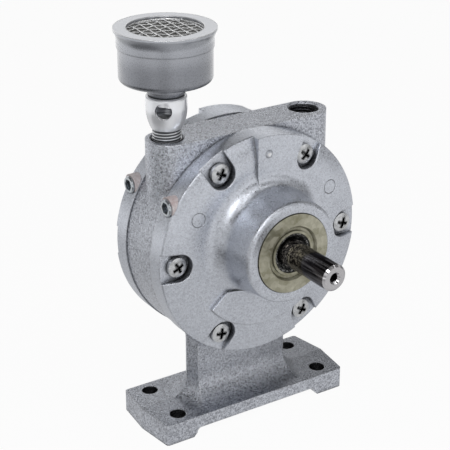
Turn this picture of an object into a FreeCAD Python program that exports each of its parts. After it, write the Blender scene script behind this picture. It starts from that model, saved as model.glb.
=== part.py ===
import FreeCAD, Part
import math
import os
import Sketcher

# Foot mounted vane air motor.
# The origin is under the middle of the foot, below the shaft: X runs along the foot, the shaft
# points along -Y and Z is up. A short ring casting stands on a neck and a foot, two domed caps close
# it, a slotted rotor runs off centre inside it, and a muffler is screwed into the left port.
# Sizes are millimetres and degrees.

SIZES = [
    # casting
    ("shaft_height", 100.2, "shaft axis above the foot's underside"),
    ("eccentricity", 4.9, "shaft axis above the ring's centre"),
    ("ring_radius", 54.6, "outside of the ring casting"),
    ("casting_depth", 22.6, "ring casting, front face to rear face"),
    ("casting_lead", 1.6, "middle of the ring casting in front of the foot's middle"),
    ("bore_radius", 39.0, "bore that the vanes run in"),
    ("port_spread", 38.4, "each port's axis from the middle"),
    ("bar_step", 1.6, "bar and port bosses, short of the ring's rear face"),
    ("port_face", 49.8, "top of the port bosses above the shaft's axis"),
    ("port_radius", 6.86, "quarter inch pipe port"),
    ("port_depth", 15.0, "depth of the port's thread"),
    ("port_mouth", 8.1, "countersunk mouth of a port"),
    ("passage_radius", 4.5, "air way from a port to the bore"),
    ("passage_end", 52.0, "lower end of the air ways below the port bosses' top"),
    # neck and foot
    ("neck_half", 28.5, "half the neck's width at the parting plane"),
    ("neck_half_edge", 18.5, "the same where the taper would meet the foot's front and rear edges"),
    ("neck_depth", 9.0, "neck, front to rear"),
    ("neck_side_round", 11.0, "hollow at the neck's sides above the foot"),
    ("neck_ring_round", 12.0, "hollow at the neck's sides below the ring"),
    ("neck_front_round", 13.0, "hollow in front of and behind the neck"),
    ("foot_half", 54.6, "half the foot's length at the parting plane"),
    ("foot_half_edge", 52.4, "half the foot's length at its front and rear edges"),
    ("foot_half_depth", 20.8, "half the foot's depth"),
    ("foot_thick", 11.6, "foot at the parting plane"),
    ("foot_thick_edge", 10.8, "foot at its front and rear edges"),
    ("foot_corner", 1.6, "rounding of the foot's corners"),
    ("foot_stock", 1.0, "stock milled off the foot's underside"),
    ("foot_hole_x", 42.1, "foot holes from the middle, along the foot"),
    ("foot_hole_y", 13.4, "foot holes from the middle, across the foot"),
    ("foot_hole_radius", 3.95, "foot holes"),
    ("relief_mouth", 37.3, "half the length of the relief at the foot's underside"),
    ("relief_half", 35.4, "half the length of the relief inside the foot"),
    ("relief_height", 4.4, "height of the relief under the foot"),
    ("relief_round", 2.4, "corners of the relief"),
    # caps
    ("cap_radius", 55.2, "rim of a cap"),
    ("cap_rim", 9.8, "rim's edge, out from the joint"),
    ("rim_round", 0.8, "rounding of the rim's edge"),
    ("dome_out", 12.6, "flat middle of a cap, out from the joint"),
    ("dome_flat", 0.5, "flat ring outside the hollow round the hub, at its narrowest"),
    ("bell_round", 8.5, "hollow between the flat and the hub"),
    ("hub_foot", 25.6, "hub's radius at its foot"),
    ("hub_radius", 24.8, "hub's radius at its face"),
    ("hub_round", 2.0, "rounding of the hub's edge"),
    ("front_hub_out", 35.1, "front hub's face, out from the joint"),
    ("rear_hub_out", 27.0, "rear hub's face, out from the joint"),
    ("land_out", 14.2, "raised lands, out from the joint"),
    ("land_round", 7.5, "hollow between the lands and the hub"),
    ("land_foot", 25.0, "inner end of that hollow, from the shaft's axis"),
    ("panel_left", 5.3, "upper land, left of the middle"),
    ("panel_right", 20.0, "upper land, right of the middle"),
    ("lens_radius", 39.5, "lower land's edge from the ring's centre"),
    ("lens_half", 30.5, "half the lower land's width"),
    ("lens_shoulder", 22.0, "lower land's upper corners from the middle"),
    ("lens_top", 18.0, "those corners below the ring's centre"),
    ("lens_inner", 8.0, "lower land's inner ends inside the hub"),
    # screws and dowels
    ("screw_count", 6, "screws in each cap"),
    ("screw_ring", 47.0, "screws from the ring's centre"),
    ("screw_radius", 2.4, "screw's shank"),
    ("screw_head_radius", 4.75, "screw's head"),
    ("screw_head_edge", 2.3, "height of the head's edge"),
    ("screw_head_crown", 3.4, "height of the head"),
    ("screw_in_casting", 10.0, "screw's reach into the casting"),
    ("cross_width", 1.15, "cross slot's arms"),
    ("cross_reach", 2.7, "length of each arm from the middle"),
    ("cross_depth", 1.7, "depth of the cross slot"),
    ("pocket_radius", 7.0, "pocket round a screw head"),
    ("pocket_out", 8.2, "pocket's floor, out from the joint"),
    ("pocket_flare", 7.3, "half the pocket's width where it leaves the rim"),
    ("hole_gap", 0.2, "clearance of a screw in a cap"),
    ("thread_gap", 0.05, "clearance of a screw in its thread"),
    ("dowel_count", 2, "dowels in each joint"),
    ("dowel_radius", 2.0, "dowels"),
    ("dowel_length", 9.0, "dowels"),
    ("dowel_angle", 30.0, "first dowel, from the horizontal, in degrees"),
    ("fit_gap", 0.01, "clearance of parts that are pressed together"),
    # rotor, vanes and shaft
    ("rotor_radius", 34.0, "rotor"),
    ("end_gap", 0.1, "rotor's clearance from each cap"),
    ("vane_count", 4, "vanes"),
    ("vane_thick", 3.2, "vanes"),
    ("vane_gap", 0.05, "clearance of a vane in its slot"),
    ("slot_floor", 18.0, "bottom of a slot from the shaft's axis"),
    ("vane_tuck", 0.15, "vane's tip below the rotor's skin when it is in"),
    ("vane_crown", 0.7, "height of the vane's rounded tip"),
    ("vane_angle", 45.0, "first vane, from the horizontal, in degrees"),
    ("shaft_radius", 6.35, "half inch output end"),
    ("shaft_end", 79.6, "output end in front of the foot's middle"),
    ("shaft_step", 40.6, "front end of the bearing's journal, in front of the foot's middle"),
    ("seal_journal", 6.6, "shaft in the seal"),
    ("seal_clear", 0.4, "seal's journal stands out of the seal"),
    ("shaft_chamfer", 1.0, "chamfer of the output end"),
    ("journal_radius", 7.5, "shaft in the bearings"),
    ("core_radius", 9.0, "shaft in the rotor"),
    ("core_gap", 0.3, "clearance of the shaft in the caps"),
    ("centre_hole", 2.0, "centre hole in the output end"),
    ("centre_mouth", 2.9, "mouth of the centre hole"),
    ("centre_depth", 7.0, "depth of the centre hole"),
    # bearings
    ("bearing_radius", 17.5, "bearing's outside"),
    ("bearing_width", 11.0, "bearing"),
    ("bearing_out", 12.0, "inner face of a bearing, out from the joint"),
    ("ball_radius", 2.97, "balls"),
    ("ball_pitch", 12.5, "balls from the shaft's axis"),
    ("ball_count", 8, "balls in a bearing"),
    ("ball_gap", 0.06, "clearance of a ball in its groove"),
    ("inner_land", 10.3, "outside of the inner ring"),
    ("outer_land", 14.7, "inside of the outer ring"),
    ("cage_inner", 11.6, "inside of the cage"),
    ("cage_outer", 13.4, "outside of the cage"),
    ("cage_width", 8.0, "cage"),
    ("cage_gap", 0.2, "clearance of a ball in the cage"),
    # seal and bearing cover
    ("seal_radius", 19.27, "shaft seal's case"),
    ("seal_proud", 0.5, "seal stands out of the hub"),
    ("seal_depth", 7.4, "seal in the hub"),
    ("seal_wall", 0.9, "sheet of the seal's case"),
    ("seal_step", 13.4, "inner edge of the seal's flat face"),
    ("seal_web", 12.4, "foot of the step in the seal's face"),
    ("seal_step_depth", 1.4, "step in the seal's face"),
    ("seal_bead", 10.9, "bead round the seal's lip"),
    ("seal_bead_in", 9.8, "inside of that bead"),
    ("seal_bead_depth", 0.5, "bead's crest behind the seal's face"),
    ("lip_face", 1.0, "rubber lip's front behind the seal's face"),
    ("lip_back", 5.8, "its rear behind the seal's face"),
    ("lip_mouth", 8.6, "its mouth"),
    ("lip_heel", 7.6, "its inside at the rear"),
    ("lip_edge", 4.4, "its sealing edge behind the seal's face"),
    ("lip_land", 0.5, "width of that edge"),
    ("spring_behind", 4.6, "garter spring behind the seal's face"),
    ("lip_gap", 0.06, "clearance of the lip on the shaft"),
    ("spring_radius", 0.6, "garter spring's section"),
    ("cover_radius", 17.5, "cover of the rear bearing"),
    ("cover_thick", 1.5, "that cover"),
    ("cover_sink", 0.8, "that cover under the rear hub's face"),
    ("spring_washer_thick", 0.5, "spring washer's sheet"),
    ("spring_washer_inner", 15.0, "spring washer's bore"),
    ("spring_washer_outer", 17.2, "spring washer's outside"),
    # plugs in the caps' rims
    ("plug_height", 23.3, "plugs above the shaft's axis"),
    ("plug_radius", 4.2, "plug"),
    ("plug_reach", 2.6, "plug's face out from the cap's rim"),
    ("plug_length", 9.0, "plug"),
    ("plug_chamfer", 0.5, "plug's face edge"),
    ("plug_hex", 5.0, "hexagon socket across flats"),
    ("plug_hex_depth", 4.5, "depth of the socket"),
    ("plug_out", 5.4, "plugs' axes, out from the joint"),
    ("sealant_radius", 5.0, "collar of thread sealant"),
    ("sealant_length", 1.3, "sealant out from the rim at its thickest"),
    # muffler
    ("nipple_radius", 6.81, "threaded nipple"),
    ("nipple_depth", 10.0, "nipple below the port's face"),
    ("nipple_root", 6.2, "nipple at the foot of its thread, above the port's face"),
    ("nipple_show", 5.2, "nipple above the port's face"),
    ("stem_bore", 4.6, "air way in the nipple"),
    ("stem_waist", 7.2, "stem above the nipple"),
    ("stem_radius", 9.5, "stem's barrel"),
    ("stem_belly", 15.0, "where the barrel is full, above the port's face"),
    ("stem_top", 20.8, "top of the barrel above the port's face"),
    ("stem_round", 1.2, "rounding of the barrel's top"),
    ("chamber_radius", 7.4, "inside of the barrel"),
    ("chamber_floor", 9.5, "floor of the barrel above the port's face"),
    ("window_radius", 3.9, "cross hole through the barrel"),
    ("window_height", 15.2, "cross hole's axis above the port's face"),
    ("window_turn", 39.7, "cross hole turned from the front to the left, in degrees"),
    ("tube_radius", 6.9, "cup's tube in the barrel"),
    ("tube_bore", 6.0, "inside of that tube"),
    ("tube_end", 4.2, "lower end of the tube below the barrel's top"),
    ("collar_low", 8.1, "collar where it sits on the stem"),
    ("collar_radius", 9.3, "collar under the cup"),
    ("collar_wide", 10.9, "collar where it meets the cup"),
    ("collar_taper", 2.2, "height of the collar's lower cone"),
    ("collar_flare", 1.1, "height of the collar's upper flare"),
    ("cup_radius", 21.4, "muffler cup"),
    ("cup_floor", 6.7, "underside of the cup above the barrel"),
    ("cup_corner", 2.4, "lower edge of the cup"),
    ("cup_wall", 0.9, "sheet of the cup"),
    ("lid_skirt", 8.5, "lower edge of the lid's skirt below the lid's top"),
    ("lid_flare", 5.5, "where the skirt starts to flare, below the lid's top"),
    ("lid_wall", 0.5, "sheet of the lid over the cup"),
    ("lid_radius", 23.2, "lid's rim"),
    ("lid_top", 24.5, "top of the lid above the cup's underside"),
    ("lid_band", 1.2, "height of the rim"),
    ("lid_opening", 17.3, "opening in the lid"),
    ("screen_radius", 21.2, "wire screen"),
    ("screen_thick", 0.9, "wire screen"),
    ("screen_pitch", 4.4, "wire spacing"),
    ("screen_wire", 1.0, "wire"),
    ("screen_count", 8, "wires each way"),
    ("screen_angle", 85.0, "wires turned from the foot, in degrees"),
    ("felt_gap", 0.3, "clearance round the felt"),
]

PLACES = [
    ("body_height", "=Sizes.shaft_height - Sizes.eccentricity"),
    ("port_level", "=Sizes.shaft_height + Sizes.port_face"),
    ("plug_level", "=Sizes.shaft_height + Sizes.plug_height"),
    ("plug_face", "=rim_at_plug + Sizes.plug_reach"),
    ("belly_level", "=port_level + Sizes.stem_belly"),
    ("stem_level", "=port_level + Sizes.stem_top"),
    ("chamber_level", "=port_level + Sizes.chamber_floor"),
    ("window_level", "=port_level + Sizes.window_height"),
    ("tube_level", "=stem_level - Sizes.tube_end"),
    ("cup_level", "=stem_level + Sizes.cup_floor"),
    ("lid_level", "=cup_level + Sizes.lid_top"),
    ("skirt_level", "=lid_level - Sizes.lid_skirt"),
    ("flare_level", "=lid_level - Sizes.lid_flare"),
    ("flat_radius", "=bell_edge + Sizes.eccentricity + Sizes.dome_flat"),
    ("front_joint", "=Sizes.casting_lead + Sizes.casting_depth / 2"),
    ("rear_joint", "=Sizes.casting_lead - Sizes.casting_depth / 2"),
    ("ring_half_depth", "=Sizes.casting_depth / 2"),
    ("bar_depth", "=Sizes.casting_depth - Sizes.bar_step"),
    ("boss_radius", "=bar_depth / 2"),
    ("neck_half_depth", "=Sizes.neck_depth / 2"),
    ("foot_length", "=Sizes.foot_half * 2"),
    ("neck_root", "=Sizes.foot_thick / 2"),
    ("neck_side_top", "=Sizes.foot_thick_edge + Sizes.neck_side_round"),
    ("neck_ring_reach", "=Sizes.ring_radius + Sizes.neck_ring_round"),
    ("neck_flare", "=Sizes.neck_half + Sizes.neck_side_round"),
    ("neck_ring_x", "=Sizes.neck_half + Sizes.neck_ring_round"),
    ("neck_ring_drop", "=sqrt(neck_ring_reach ^ 2 - neck_ring_x ^ 2)"),
    ("neck_ring_z", "=body_height - neck_ring_drop"),
    ("neck_touch_x", "=neck_ring_x * Sizes.ring_radius / neck_ring_reach"),
    ("neck_touch_z", "=body_height - neck_ring_drop * Sizes.ring_radius / neck_ring_reach"),
    ("neck_flare_edge", "=Sizes.neck_half_edge + Sizes.neck_side_round"),
    ("neck_ring_x_edge", "=Sizes.neck_half_edge + Sizes.neck_ring_round"),
    ("neck_ring_drop_edge", "=sqrt(neck_ring_reach ^ 2 - neck_ring_x_edge ^ 2)"),
    ("neck_ring_z_edge", "=body_height - neck_ring_drop_edge"),
    ("neck_touch_x_edge", "=neck_ring_x_edge * Sizes.ring_radius / neck_ring_reach"),
    ("neck_touch_z_edge", "=body_height - neck_ring_drop_edge * Sizes.ring_radius / neck_ring_reach"),
    ("neck_front_foot", "=neck_half_depth + Sizes.neck_front_round"),
    ("neck_front_top", "=Sizes.foot_thick_edge + Sizes.neck_front_round"),
    ("neck_under_start", "=body_height - neck_ring_end"),
    ("neck_ring_end", "=Sizes.ring_radius + ring_half_depth - neck_half_depth"),
    ("neck_clear", "=body_height - neck_front_top"),
    ("cut_edge", "=Sizes.foot_half_depth * 2"),
    ("relief_inner", "=Sizes.relief_half - Sizes.relief_round"),
    ("relief_low", "=Sizes.relief_height - Sizes.relief_round"),
    ("port_sink", "=Sizes.port_mouth - Sizes.port_radius"),
    ("rotor_length", "=Sizes.casting_depth - 2 * Sizes.end_gap"),
    ("rotor_front", "=front_joint - Sizes.end_gap"),
    ("slot_half", "=Sizes.vane_thick / 2 + Sizes.vane_gap"),
    ("slot_open", "=Sizes.rotor_radius + 1"),
    ("vane_half", "=Sizes.vane_thick / 2"),
    ("vane_root", "=Sizes.slot_floor + Sizes.vane_gap"),
    ("vane_tip", "=Sizes.rotor_radius - Sizes.vane_tuck"),
    ("vane_shoulder", "=Sizes.rotor_radius - Sizes.vane_tuck - Sizes.vane_crown"),
    ("vane_centre", "=vane_tip - (vane_half ^ 2 + Sizes.vane_crown ^ 2) / (2 * Sizes.vane_crown)"),
    ("screw_clear", "=Sizes.screw_radius + Sizes.hole_gap"),
    ("screw_tapped", "=Sizes.screw_radius + Sizes.thread_gap"),
    ("screw_hole_depth", "=Sizes.screw_in_casting + 0.4"),
    ("screw_length", "=Sizes.screw_in_casting + Sizes.pocket_out"),
    ("crown_rise", "=Sizes.screw_head_crown - Sizes.screw_head_edge"),
    ("crown_round", "=(Sizes.screw_head_radius ^ 2 + crown_rise ^ 2) / (2 * crown_rise)"),
    ("crown_centre", "=crown_round - Sizes.screw_head_crown"),
    ("cross_half", "=Sizes.cross_width / 2"),
    ("pocket_open", "=Sizes.cap_radius + 3"),
    ("dowel_hole", "=Sizes.dowel_radius + Sizes.fit_gap"),
    ("dowel_half", "=Sizes.dowel_length / 2"),
    ("dowel_hole_depth", "=Sizes.dowel_length / 2 + 0.3"),
    ("rim_side", "=Sizes.cap_rim - Sizes.rim_round"),
    ("rim_inner", "=Sizes.cap_radius - Sizes.rim_round"),
    ("dome_rise", "=Sizes.dome_out - Sizes.cap_rim"),
    ("dome_run", "=rim_inner - flat_radius"),
    ("dome_centre", "=Sizes.dome_out - (dome_rise ^ 2 + dome_run ^ 2) / (2 * dome_rise)"),
    ("bell_edge", "=Sizes.hub_foot + Sizes.bell_round"),
    ("bell_turn", "=Sizes.dome_out + Sizes.bell_round"),
    ("hub_face", "=Sizes.hub_radius - Sizes.hub_round"),
    ("front_hub_side", "=Sizes.front_hub_out - Sizes.hub_round"),
    ("rear_hub_side", "=Sizes.rear_hub_out - Sizes.hub_round"),
    ("land_edge", "=Sizes.land_foot + Sizes.land_round"),
    ("land_turn", "=Sizes.land_out + Sizes.land_round"),
    ("land_span", "=Sizes.cap_radius + Sizes.eccentricity + 1"),
    ("lens_drop", "=sqrt(Sizes.lens_radius ^ 2 - Sizes.lens_half ^ 2)"),
    ("outside", "=Sizes.cap_radius + Sizes.eccentricity + 10"),
    ("front_hub_length", "=Sizes.front_hub_out - Sizes.pocket_out"),
    ("rear_hub_length", "=Sizes.rear_hub_out - Sizes.pocket_out"),
    ("plug_hole_depth", "=Sizes.cap_radius - plug_root"),
    ("window_start", "=Sizes.stem_radius + 1"),
    ("window_length", "=2 * window_start"),
    ("tube_seat", "=Sizes.tube_radius + Sizes.fit_gap"),
    ("felt_foot", "=cup_floor_edge - Sizes.felt_gap"),
    ("wires_span", "=Sizes.screen_pitch * (Sizes.screen_count - 1)"),
    ("wire_low", "=-(wires_span + Sizes.screen_wire) / 2"),
    ("wire_high", "=wire_low + Sizes.screen_wire"),
    ("wire_half", "=Sizes.screen_radius + 1"),
    ("screen_outside", "=Sizes.screen_radius * 2"),
    ("lip_outer", "=Sizes.seal_bead_in - Sizes.fit_gap"),
    ("bearing_seat", "=Sizes.bearing_radius + Sizes.fit_gap"),
    ("shaft_hole", "=Sizes.core_radius + Sizes.core_gap"),
    ("bearing_end_out", "=Sizes.bearing_out + Sizes.bearing_width"),
    ("front_seat_depth", "=Sizes.front_hub_out - Sizes.bearing_out"),
    ("rear_seat_depth", "=Sizes.rear_hub_out - Sizes.bearing_out"),
    ("seal_seat", "=Sizes.seal_radius + Sizes.fit_gap"),
    ("seal_seat_depth", "=Sizes.seal_depth + 0.1"),
    ("bearing_half", "=Sizes.bearing_width / 2"),
    ("front_bearing", "=front_joint + Sizes.bearing_out + bearing_half"),
    ("rear_bearing", "=rear_joint - Sizes.bearing_out - bearing_half"),
    ("cage_depth", "=Sizes.cage_outer + 1"),
    ("core_front", "=front_joint + Sizes.bearing_out"),
    ("core_rear", "=Sizes.bearing_out - rear_joint"),
    ("shaft_rear", "=bearing_end_out - rear_joint"),
    ("chamfer_start", "=Sizes.shaft_end - Sizes.shaft_chamfer"),
    ("shaft_face", "=Sizes.shaft_radius - Sizes.shaft_chamfer"),
    ("centre_taper", "=Sizes.shaft_end - (Sizes.centre_mouth - Sizes.centre_hole) * 1.2"),
    ("centre_floor", "=Sizes.shaft_end - Sizes.centre_depth"),
    ("centre_tip", "=centre_floor - Sizes.centre_hole * 0.6"),
    ("seal_face", "=front_joint + Sizes.front_hub_out + Sizes.seal_proud"),
    ("seal_inner", "=Sizes.seal_radius - Sizes.seal_wall"),
    ("seal_back", "=Sizes.seal_step_depth + Sizes.seal_wall"),
    ("lip_bore", "=Sizes.seal_journal + Sizes.lip_gap"),
    ("output_start", "=seal_face + Sizes.seal_clear"),
    ("lip_edge_end", "=Sizes.lip_edge + Sizes.lip_land"),
    ("spring_ring", "=Sizes.seal_bead_in + Sizes.spring_radius"),
    ("cover_face", "=Sizes.rear_hub_out - Sizes.cover_sink"),
    ("cover_inner", "=cover_face - Sizes.cover_thick"),
    ("washer_low", "=bearing_end_out + Sizes.spring_washer_thick"),
    ("washer_high", "=cover_inner - Sizes.spring_washer_thick"),
    ("cage_half", "=Sizes.cage_width / 2"),
    ("groove_radius", "=Sizes.ball_radius + Sizes.ball_gap"),
    ("inner_groove_half", "=sqrt(groove_radius ^ 2 - (Sizes.ball_pitch - Sizes.inner_land) ^ 2)"),
    ("outer_groove_half", "=sqrt(groove_radius ^ 2 - (Sizes.outer_land - Sizes.ball_pitch) ^ 2)"),
    ("journal_seat", "=Sizes.journal_radius + Sizes.fit_gap"),
    ("rotor_seat", "=Sizes.core_radius + Sizes.fit_gap"),
    ("cage_window", "=Sizes.ball_radius + Sizes.cage_gap"),
    ("plug_hole", "=Sizes.plug_radius + Sizes.fit_gap"),
    ("plug_root", "=plug_face - Sizes.plug_length"),
    ("hex_corner", "=Sizes.plug_hex / sqrt(3)"),
    ("plug_edge", "=Sizes.plug_radius - Sizes.plug_chamfer"),
    ("plug_face_in", "=plug_face - Sizes.plug_chamfer"),
    ("hex_half", "=Sizes.plug_hex / 2"),
    ("hex_side", "=Sizes.plug_hex / sqrt(12)"),
    ("rim_at_plug", "=sqrt(Sizes.cap_radius ^ 2 - (plug_level - body_height) ^ 2)"),
    ("sealant_face", "=rim_at_plug + Sizes.sealant_length"),
    ("sealant_run", "=Sizes.sealant_length + Sizes.sealant_radius"),
    ("sealant_cut", "=Sizes.cap_radius + Sizes.fit_gap"),
    ("sealant_cut_depth", "=Sizes.sealant_radius * 3"),
    ("nipple_end", "=port_level - Sizes.nipple_depth"),
    ("nipple_top", "=port_level + Sizes.nipple_show"),
    ("stem_shoulder", "=stem_level - Sizes.stem_round"),
    ("stem_crown", "=Sizes.stem_radius - Sizes.stem_round"),
    ("belly_rise", "=belly_level - nipple_top"),
    ("belly_swell", "=Sizes.stem_radius - Sizes.stem_waist"),
    ("belly_round", "=(belly_rise ^ 2 + belly_swell ^ 2) / (2 * belly_swell)"),
    ("belly_centre", "=Sizes.stem_radius - belly_round"),
    ("collar_mid", "=stem_level + Sizes.collar_taper"),
    ("collar_neck", "=cup_level - Sizes.collar_flare"),
    ("cup_side_low", "=cup_level + Sizes.cup_corner"),
    ("cup_floor_edge", "=Sizes.cup_radius - Sizes.cup_corner"),
    ("cup_inner", "=Sizes.cup_radius - Sizes.cup_wall"),
    ("cup_inside_floor", "=cup_level + Sizes.cup_wall"),
    ("cup_top", "=lid_level - Sizes.lid_band - Sizes.screen_thick"),
    ("lid_inner", "=Sizes.cup_radius + Sizes.fit_gap"),
    ("lid_skirt_outer", "=Sizes.cup_radius + Sizes.lid_wall"),
    ("lid_under", "=lid_level - Sizes.lid_band"),
    ("flare_out", "=Sizes.lid_radius - lid_skirt_outer"),
    ("flare_up", "=lid_under - flare_level"),
    ("flare_centre", "=lid_skirt_outer + (flare_out ^ 2 + flare_up ^ 2) / (2 * flare_out)"),
    ("felt_radius", "=cup_inner - Sizes.felt_gap"),
]

doc = FreeCAD.newDocument("air_motor")


def fill_sheet(label, rows):
    """Put the rows into a sheet: name, value or formula, meaning."""
    sheet = doc.addObject("Spreadsheet::Sheet", label)
    for line, row in enumerate(rows, start=1):
        sheet.set("A%d" % line, row[0].replace("_", " "))
        sheet.set("B%d" % line, str(row[1]))
        sheet.setAlias("B%d" % line, row[0])
        if len(row) > 2:
            sheet.set("C%d" % line, row[2])
    return sheet


sizes = fill_sheet("Sizes", SIZES)
places = fill_sheet("Places", PLACES)
doc.recompute()
SIZE_NAMES = {row[0] for row in SIZES}


def bound(name):
    """The expression that ties a value to its cell."""
    if name.startswith("-"):
        return "-" + bound(name[1:])
    return ("Sizes." if name in SIZE_NAMES else "Places.") + name


def val(name):
    """The number in the cell of that name, which may carry a minus sign."""
    if name == "0":
        return 0.0
    if name.startswith("-"):
        return -val(name[1:])
    sheet = sizes if name in SIZE_NAMES else places
    return float(sheet.get(name))


def new_body(label):
    owner = doc.addObject("PartDesign::Body", label)
    owner.Label = label
    return owner


def formula(name):
    """A name's expression. Text with a dot in it is an expression already."""
    return name if "." in name else bound(name)


def new_sketch(owner, name, role, x=None, y=None, z=None, turn=None, swing=None):
    """A sketch on one of the body's own planes, moved in the sketch's own directions.

    It can be turned about its own normal, or swung about its own upright.
    """
    sketch = owner.newObject("Sketcher::SketchObject", name)
    plane = [item for item in owner.Origin.OriginFeatures if item.Role == role][0]
    sketch.AttachmentSupport = [(plane, "")]
    sketch.MapMode = "FlatFace"
    if turn or swing:
        axis = FreeCAD.Vector(0, 0, 1) if turn else FreeCAD.Vector(0, 1, 0)
        sketch.AttachmentOffset = FreeCAD.Placement(FreeCAD.Vector(), FreeCAD.Rotation(axis, 10))
        sketch.setExpression("AttachmentOffset.Rotation.Angle", formula(turn or swing))
    for direction, offset in (("x", x), ("y", y), ("z", z)):
        if offset:
            sketch.setExpression("AttachmentOffset.Base." + direction, formula(offset))
    return sketch


def pin_point(sketch, item, point, x, y):
    """Hold one point of an item at named coordinates."""
    for kind, name, axis in (("DistanceX", x, -2), ("DistanceY", y, -1)):
        if name is None:
            continue
        if name == "0":
            sketch.addConstraint(Sketcher.Constraint("PointOnObject", item, point, axis))
        else:
            number = sketch.addConstraint(Sketcher.Constraint(kind, -1, 1, item, point, val(name)))
            sketch.setExpression("Constraints[%d]" % number, bound(name))


def add_circle(sketch, x, y, radius):
    centre = FreeCAD.Vector(val(x), val(y), 0)
    item = sketch.addGeometry(Part.Circle(centre, FreeCAD.Vector(0, 0, 1), val(radius)), False)
    pin_point(sketch, item, 3, x, y)
    number = sketch.addConstraint(Sketcher.Constraint("Radius", item, val(radius)))
    sketch.setExpression("Constraints[%d]" % number, bound(radius))


def add_outline(sketch, steps):
    """A closed outline.

    Each step is the corner that its run ends at, as named x and y. A third entry makes the run an arc:
    (centre x, centre y, turn), where turn is 1 for an arc that runs anticlockwise and -1 for clockwise.
    """
    corners = [(val(step[0]), val(step[1])) for step in steps]
    ends = []
    for index, step in enumerate(steps):
        start = FreeCAD.Vector(corners[index - 1][0], corners[index - 1][1], 0)
        finish = FreeCAD.Vector(corners[index][0], corners[index][1], 0)
        if len(step) == 2:
            item = sketch.addGeometry(Part.LineSegment(start, finish), False)
            ends.append((item, 1, 2))
            continue
        centre_x, centre_y, turn = step[2]
        centre = FreeCAD.Vector(val(centre_x), val(centre_y), 0)
        low, high = (start, finish) if turn > 0 else (finish, start)
        first = math.atan2(low.y - centre.y, low.x - centre.x)
        last = math.atan2(high.y - centre.y, high.x - centre.x)
        if last < first:
            last += 2 * math.pi
        circle = Part.Circle(centre, FreeCAD.Vector(0, 0, 1), (low - centre).Length)
        item = sketch.addGeometry(Part.ArcOfCircle(circle, first, last), False)
        ends.append((item, 1, 2) if turn > 0 else (item, 2, 1))
        if abs(finish.x - start.x) < abs(finish.y - start.y):
            pin_point(sketch, item, 3, centre_x, None)
        else:
            pin_point(sketch, item, 3, None, centre_y)
    for index, step in enumerate(steps):
        item, _, finish_point = ends[index]
        following, start_point, _ = ends[(index + 1) % len(ends)]
        sketch.addConstraint(Sketcher.Constraint("Coincident", item, finish_point, following, start_point))
        pin_point(sketch, item, finish_point, step[0], step[1])


def grown(owner, feature, name):
    """Recompute, and stop unless the feature is sound and became the body's last one."""
    owner.Tip = feature
    doc.recompute()
    if "Invalid" in feature.State or "Error" in feature.State or feature.Shape.isNull():
        raise RuntimeError("%s failed in %s: %s" % (name, owner.Label, feature.State))
    return feature


def volume_before(owner):
    return owner.Shape.Volume if owner.Tip and not owner.Shape.isNull() else 0.0


def check_change(owner, before, sign, name):
    change = owner.Shape.Volume - before
    if change * sign <= 1e-6:
        raise RuntimeError("%s changed nothing in %s" % (name, owner.Label))


def pad(owner, name, sketch, length, backwards=False):
    before = volume_before(owner)
    feature = owner.newObject("PartDesign::Pad", name)
    feature.Profile = sketch
    feature.Reversed = backwards
    feature.setExpression("Length", formula(length))
    grown(owner, feature, name)
    check_change(owner, before, 1, name)
    return feature


def pocket(owner, name, sketch, length, backwards=False):
    """Cut against the sketch's normal, or along it when backwards."""
    before = volume_before(owner)
    feature = owner.newObject("PartDesign::Pocket", name)
    feature.Profile = sketch
    feature.Reversed = backwards
    feature.setExpression("Length", formula(length))
    grown(owner, feature, name)
    check_change(owner, before, -1, name)
    return feature


def revolve(owner, name, sketch, axis):
    feature = owner.newObject("PartDesign::Revolution", name)
    feature.Profile = sketch
    feature.ReferenceAxis = (sketch, [axis])
    feature.Angle = 360
    return grown(owner, feature, name)


def groove(owner, name, sketch, axis):
    before = volume_before(owner)
    feature = owner.newObject("PartDesign::Groove", name)
    feature.Profile = sketch
    feature.ReferenceAxis = (sketch, [axis])
    feature.Angle = 360
    grown(owner, feature, name)
    check_change(owner, before, -1, name)
    return feature


def loft(owner, name, sketches, ruled=False):
    feature = owner.newObject("PartDesign::AdditiveLoft", name)
    feature.Profile = sketches[0]
    feature.Sections = sketches[1:]
    feature.Ruled = ruled
    return grown(owner, feature, name)


def polar(owner, name, originals, sketch, count, axis="N_Axis"):
    before = volume_before(owner)
    feature = owner.newObject("PartDesign::PolarPattern", name)
    feature.Originals = originals
    feature.Axis = (sketch, [axis])
    feature.Angle = 360.0
    feature.setExpression("Occurrences", bound(count))
    grown(owner, feature, name)
    if abs(owner.Shape.Volume - before) <= 1e-6:
        raise RuntimeError("%s changed nothing in %s" % (name, owner.Label))
    return feature


def row(owner, name, original, sketch, axis, span, count):
    """Repeat a feature in a straight row of that span."""
    before = volume_before(owner)
    feature = owner.newObject("PartDesign::LinearPattern", name)
    feature.Originals = [original]
    feature.Direction = (sketch, [axis])
    feature.setExpression("Length", bound(span))
    feature.setExpression("Occurrences", bound(count))
    grown(owner, feature, name)
    check_change(owner, before, 1, name)
    return feature


def dress(owner, kind, name, size, wanted):
    """Fillet or chamfer the edges of the body's last feature that the test picks."""
    base = owner.Tip
    names = ["Edge%d" % (i + 1) for i, edge in enumerate(base.Shape.Edges) if wanted(edge)]
    if not names:
        raise RuntimeError("%s found no edge in %s" % (name, owner.Label))
    feature = owner.newObject("PartDesign::" + kind, name)
    feature.Base = (base, names)
    feature.setExpression("Radius" if kind == "Fillet" else "Size", bound(size))
    return grown(owner, feature, name)


# The casting: ring, neck, foot and the bar with the two ports.


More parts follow.
